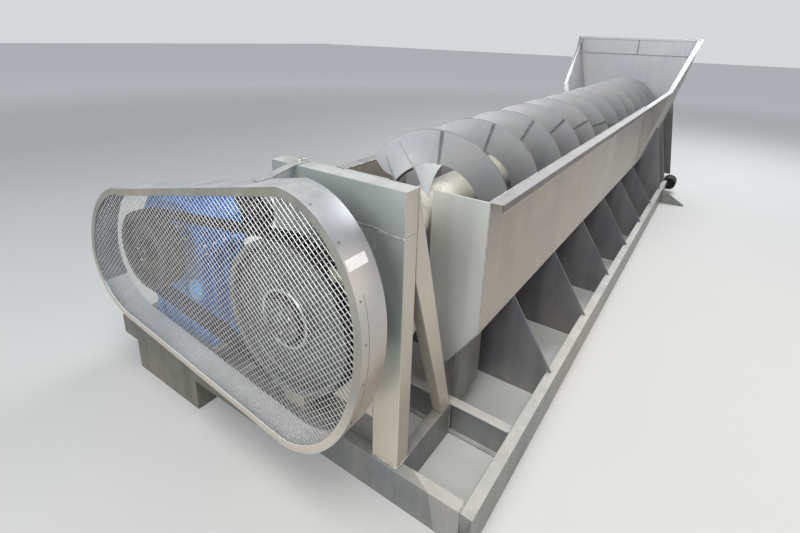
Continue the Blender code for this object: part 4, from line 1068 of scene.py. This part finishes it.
shape = bmesh.new()
ribHalf = unit["ribHalf"]
for x in (x1 + 0.09, midX - 0.06, midX + 0.10):
    low, high = (x - ribHalf, y1 - 0.020, unit["base"]), (x + ribHalf, y1 + 0.002, split - 0.14)
    for vert in addBlock(shape, low, high):
        if vert.co.z > 0.6 and vert.co.y < y1:
            vert.co.y = y1 - 0.003
for y in (y1 + 0.06, midY, y2 - 0.06):
    for x, side in ((x1, -1), (x2, 1)):
        left, right = sorted((x, x + side * 0.024))
        rib = addBlock(shape, (left, y - ribHalf, unit["base"]), (right, y + ribHalf, split - 0.018))
        for vert in rib:
            if vert.co.z < 0.5 and abs(vert.co.x - x) > 0.01:
                vert.co.x = x + side * 0.036
addBlock(shape, (midX - 0.11, y1 + 0.07, top), (midX + 0.11, y2 - 0.07, lidTop))
roundEdges(addPiece("gear_unit_ribs", meshFrom(shape, "ribs"), "motor_blue"), 0.003)
lidSpots = [(midX + 0.095 * i, midY + 0.060 * j, lidTop) for i in (-1, 1) for j in (-1, 1)]
boltRow("gear_unit_lid_bolts", [(lidSpots, upward)], 0.007, zinc)
vent = [(0, 0.040), (0.010, 0.040), (0.014, 0.036), (0.014, 0.014), (0.018, 0.012), (0.018, 0.0)]
mesh = turnedMesh("vent", vent, 32, (0, 0), 0)
mesh.transform(Matrix.Translation((midX + 0.05, midY, lidTop)) @ Matrix.Rotation(pi / 2, 4, "X"))
addPiece("gear_unit_vent", mesh, "machined_iron")


def eyeBolt(name, spot, size):
    # a ring on a short stem, standing on spot
    x, y, z = spot
    stem = size * 0.35
    ring = [(x + size * math.sin(a), y, z + stem + size * (1 - math.cos(a))) for a in spread(0, 2 * pi, 25)]
    beads(name, [[spot, (x, y, z + stem)], ring], size * 0.26, zinc, "frame", 0.004, 0.0)


eyeBolt("gear_unit_eye_front", (midX - 0.14, y1 + 0.05, top), 0.020)
eyeBolt("gear_unit_eye_rear", (midX + 0.14, y2 - 0.05, top), 0.020)

# motor: finned body, end shields, fan cowl with its slots, terminal box
motor = {"core": 0.136, "fins": 36, "finThick": 0.0045, "finFrom": 0.278, "finTo": 0.500, "slots": 24,
         "slotFrom": 0.034, "slotTo": 0.110, "slotHalf": 0.0014, "boxLow": (-0.215, 0.085, -0.070),
         "boxHigh": (-0.130, 0.225, 0.070), "lid": 0.014, "lidOver": 0.004}
front, back = place["motorY"]
spin = (place["motorX"], place["unitSplit"])
radius, core = place["motorRadius"], motor["core"]
body = [(0, 0), (radius + 0.020, 0), (radius + 0.020, 0.018), (radius + 0.018, 0.020), (core + 0.012, 0.020),
        (core, 0.040), (core, 0.276), (core + 0.012, 0.280), (radius - 0.004, 0.280), (radius, 0.284),
        (radius, 0.322), (radius - 0.004, 0.337), (radius - 0.014, 0.347), (radius - 0.026, 0.350),
        (0.110, 0.350)]
for ring in (0.110, 0.082, 0.054):
    body += [(ring, 0.350), (ring - 0.002, 0.344), (ring - 0.014, 0.344), (ring - 0.016, 0.350)]
mesh = turnedMesh("motorBody", body + [(0, 0.350)], 80, spin, front)
addPiece("motor_body", mesh, "motor_grey", "frame", ("motor",), 30)


def addSpokes(shape, count, first, low, high):
    # blocks set round the motor's axis
    for i in range(count):
        turn = Matrix.Rotation(-2 * pi * (i + first) / count, 4, "Y")
        addBlock(shape, low, high, Matrix.Translation((spin[0], 0, spin[1])) @ turn)


shape = bmesh.new()
finHalf, slotHalf = motor["finThick"] / 2, motor["slotHalf"]
addSpokes(shape, motor["fins"], 0.5, (core - 0.002, motor["finFrom"], -finHalf),
          (radius, motor["finTo"], finHalf))
addSpokes(shape, motor["slots"], 0, (motor["slotFrom"], back - 0.0075, -slotHalf),
          (motor["slotTo"], back - 0.0015, slotHalf))
addPiece("motor_fins", meshFrom(shape, "fins"), "motor_grey")
origin = Vector((spin[0], front, spin[1]))
low, high = origin + Vector(motor["boxLow"]), origin + Vector(motor["boxHigh"])
over = Vector((0, motor["lidOver"], motor["lidOver"]))
lid = (low - over - Vector((motor["lid"], 0, 0)), Vector((low.x, high.y, high.z)) + over)
box = addPiece("motor_terminal_box", blockMesh("box", [(low, high), lid]), "motor_grey")
roundEdges(box, 0.005, 3)
lidSpots = [(low.x - motor["lid"], front + 0.155 + 0.064 * i, spin[1] + 0.064 * j) for i in (-1, 1)
            for j in (-1, 1)]
flangeSpots = circle(spin, 0.165, 8, front + 0.020, 0.5)
boltRow("motor_bolts", [(lidSpots, (-1, 0, 0)), (flangeSpots, backward)], 0.0065, zinc)
plugSpots = [(spin[0] - 0.172, front + y, low.z) for y in (0.120, 0.190)]
boltRow("motor_cable_plugs", [(plugSpots, downward)], 0.013, "black_part", "frame", 0.7)
eyeBolt("motor_eye", (spin[0], front + 0.060, spin[1] + core), 0.018)

# gear case behind the large pulley: lips at both faces with their bolts
case = {"low": (place["bigPulley"][0], place["bigPulley"][1] - 0.04), "lowRadius": 0.150,
        "high": (0, place["screwZ"]), "highRadius": 0.205, "lips": {"front": 0.128, "rear": 0.3052},
        "edge": 0.012, "proud": 0.014, "soft": 0.003}


def caseLine(inset, steps):
    return loopRound(case["low"], case["lowRadius"], case["high"], case["highRadius"], inset, steps)


for name, y in case["lips"].items():
    edge, proud, soft = case["edge"], case["proud"], case["soft"]
    section = [(0.0, y - edge), (soft - proud, y - edge), (-proud, y - edge + soft),
               (-proud, y + edge - soft), (soft - proud, y + edge), (0.0, y + edge), (0.006, y)]
    addPiece(f"gear_case_lip_{name}", sweepLoop("lip" + name, section, caseLine, 28), "shaft_paint")
caseSpots = [(x, 0.3172, z) for x, z in caseLine(0.000, 10)[::2]]
boltRow("gear_case_bolts", [(caseSpots, backward)], 0.0065, "black_part")

# end bearing: its flange bolts stand on the housing, inside the hopper
endSpots = [(0.085 * i, 6.4456, place["screwZ"] + 0.066 * j) for i in (-1, 1) for j in (-1, 1)]
boltRow("end_bearing_bolts", [(endSpots, forward)], 0.009, zinc)
print("gear unit, motor and bearings")


def weldLine(start, stop, count=2):
    return list(zip(*[spread(a, b, count) for a, b in zip(start, stop)]))


# weld beads where the frame's plates meet, on the right side; the left is its mirror
postIn, postOut, postBack = driveFrame["inner"], driveFrame["half"], driveFrame["back"]
saddleY = [1.133 + 0.774 * i for i in range(7)] + [6.230]
sideWelds = {
    "frame": [[(postIn, 0.014, 0.203), (postOut, 0.014, 0.203), (postOut + 0.001, postBack, 0.203)],
              weldLine((postOut, 0.512, 0.203), (postOut - 0.060, 0.512, 0.203)),
              weldLine((0.373, 0.062, 0.012), (0.373, 0.062, 0.198), 5),
              weldLine((0.373, 0.522, 0.012), (0.373, 0.522, 0.198), 5),
              weldLine((0.708, 0.002, 0.201), (0.708, 0.058, 0.201)),
              weldLine((0.708, 0.526, 0.201), (0.708, 0.582, 0.201))]
             + [weldLine((0.7085, y - 0.030, 0.196), (0.7085, y + 0.030, 0.196)) for y in saddleY],
    "thin": [weldLine((postOut + 0.001, postBack, 1.15), (postOut + 0.001, postBack, 1.548), 8),
             weldLine((postIn, 0.0145, 0.42), (postIn, 0.0145, 1.30), 12)],
    "tank": [weldLine((0.4592, 0.6112, 0.635), (0.4592, 0.6112, 1.360), 10),
             weldLine((0.2895, 0.6095, 0.381), (0.4585, 0.6095, 0.632)),
             weldLine((0.4600, place["seamY"], 0.64), (0.4600, place["seamY"], 1.34), 9),
             weldLine((0.4500, 0.62, 1.3635), (0.4500, 5.04, 1.3635), 10)],
}
welds = {kind: [[(side * x, y, z) for x, y, z in line] for side in (-1, 1) for line in lines]
         for kind, lines in sideWelds.items()}
seam = [(0.133, 1.372), (0.160, 1.370), (0.195, 1.371), (0.228, 1.372), (0.258, 1.367), (0.289, 1.361),
        (0.330, 1.357), (0.372, 1.355)]
welds["thin"] += [[(x, 0.0145, z) for x, z in seam],
                  weldLine((postIn, 0.0145, 1.20), (postIn, 0.0145, 1.368), 5),
                  weldLine((-0.228, 0.0145, 0.42), (0.228, 0.0145, 0.42), 8)]
for name, kind, radius, step, rough in (("frame_welds", "frame", 0.0042, 0.007, 0.35),
                                        ("frame_thin_welds", "thin", 0.0020, 0.007, 0.35),
                                        ("tank_welds", "tank", 0.0026, 0.008, 0.3)):
    beads(name, welds[kind], radius, "weld_bead", "frame", step, rough)

# hopper: the light bar along the back's top, the weir band's middle rib, the arched bar at the screw's end
hopper = {"band": 6.4777, "end": 6.4896, "barHalf": 0.795, "barLow": 2.124, "barTop": 2.157,
          "ribLow": (0.028, 1.934), "ribHigh": (0.040, 2.132)}
band, half = hopper["band"], hopper["barHalf"]
bar = [((-half, band - 0.012, hopper["barLow"]), (half, band - 0.0002, hopper["barTop"]))]
roundEdges(addPiece("hopper_top_bar", blockMesh("topBar", bar), "rim_plate"), 0.002)
(x1, z1), (x2, z2) = hopper["ribLow"], hopper["ribHigh"]
mesh = blockMesh("weirRibs", [((x1, band - 0.014, z1), (x2, band, z2))])
roundEdges(addPiece("weir_ribs", mesh, "dark_weld"), 0.002)
arch = {"radius": 0.350, "wide": 0.030, "from": 12, "to": 168, "thick": 0.012}
low, high = arch["radius"], arch["radius"] + arch["thick"]
near, far = hopper["end"] - arch["wide"], hopper["end"]
rows = [[onCircle((0, place["screwZ"]), radius, math.radians(degrees), y)
         for radius, y in ((low, far), (low, near), (high, near), (high, far))]
        for degrees in spread(arch["from"], arch["to"], 33)]
addPiece("hopper_arch_bar", ringMesh("arch", rows), "cheek_plate")
bandLine = weldLine((-0.69, 6.4765, 1.928), (0.69, 6.4765, 1.928), 12)
beads("hopper_welds", [bandLine], 0.0045, "weld_bead", "frame", 0.010, 0.3)

# bolts on the deck, the stay and the ground bracket
deckSpots = [(x, y, 0.3440) for x in (-1.575, -0.865) for y in (-0.055, 0.25, 0.525)]
staySpots = [(-0.2275, y, 1.5583) for y in (0.052, 0.075)]
boltRow("deck_bolts", [(deckSpots, upward), (staySpots, upward)], 0.009, zinc)
bracketSpots = [(0.7923, 5.786, z) for z in (0.04, 0.13)]
boltRow("bracket_bolts", [(bracketSpots, forward)], 0.008, zinc)
print("welds and bolts")

# the floor, plain and pale; far from the machine it brightens into the backdrop
floorLook = {"half": 60, "middle": (0, 2.5, 0), "colour": (0.60, 0.60, 0.59), "patches": 0.96, "rough": 0.75,
             "glowFrom": 4.0, "glowFull": 17.0, "glow": 0.44}


def makeFloor():
    shape = bmesh.new()
    bmesh.ops.create_grid(shape, x_segments=4, y_segments=4, size=floorLook["half"])
    mesh = bpy.data.meshes.new("floor")
    shape.to_mesh(mesh)
    shape.free()
    material, tree, shader, spot = startMaterial("floor")
    pale = floorLook["colour"]
    darker = tuple(value * floorLook["patches"] for value in pale)
    feed(tree, mixColour(tree, addNoise(tree, spot, 0.6, 3.0), darker, pale), shader.inputs["Base Color"])
    shader.inputs["Roughness"].default_value = floorLook["rough"]
    away = addNode(tree, "ShaderNodeVectorMath", operation="LENGTH")
    feed(tree, spot, away.inputs[0])
    near, far, most = [floorLook[key] for key in ("glowFrom", "glowFull", "glow")]
    glow = mapRange(tree, away.outputs["Value"], near, far, 0.0, most)
    feed(tree, glow, shader.inputs["Emission Strength"])
    shader.inputs["Emission Color"].default_value = (*surround["backdrop"], 1)
    mesh.materials.append(material)
    floor = bpy.data.objects.new("floor", mesh)
    floor.location = floorLook["middle"]
    bpy.context.scene.collection.objects.link(floor)


makeFloor()
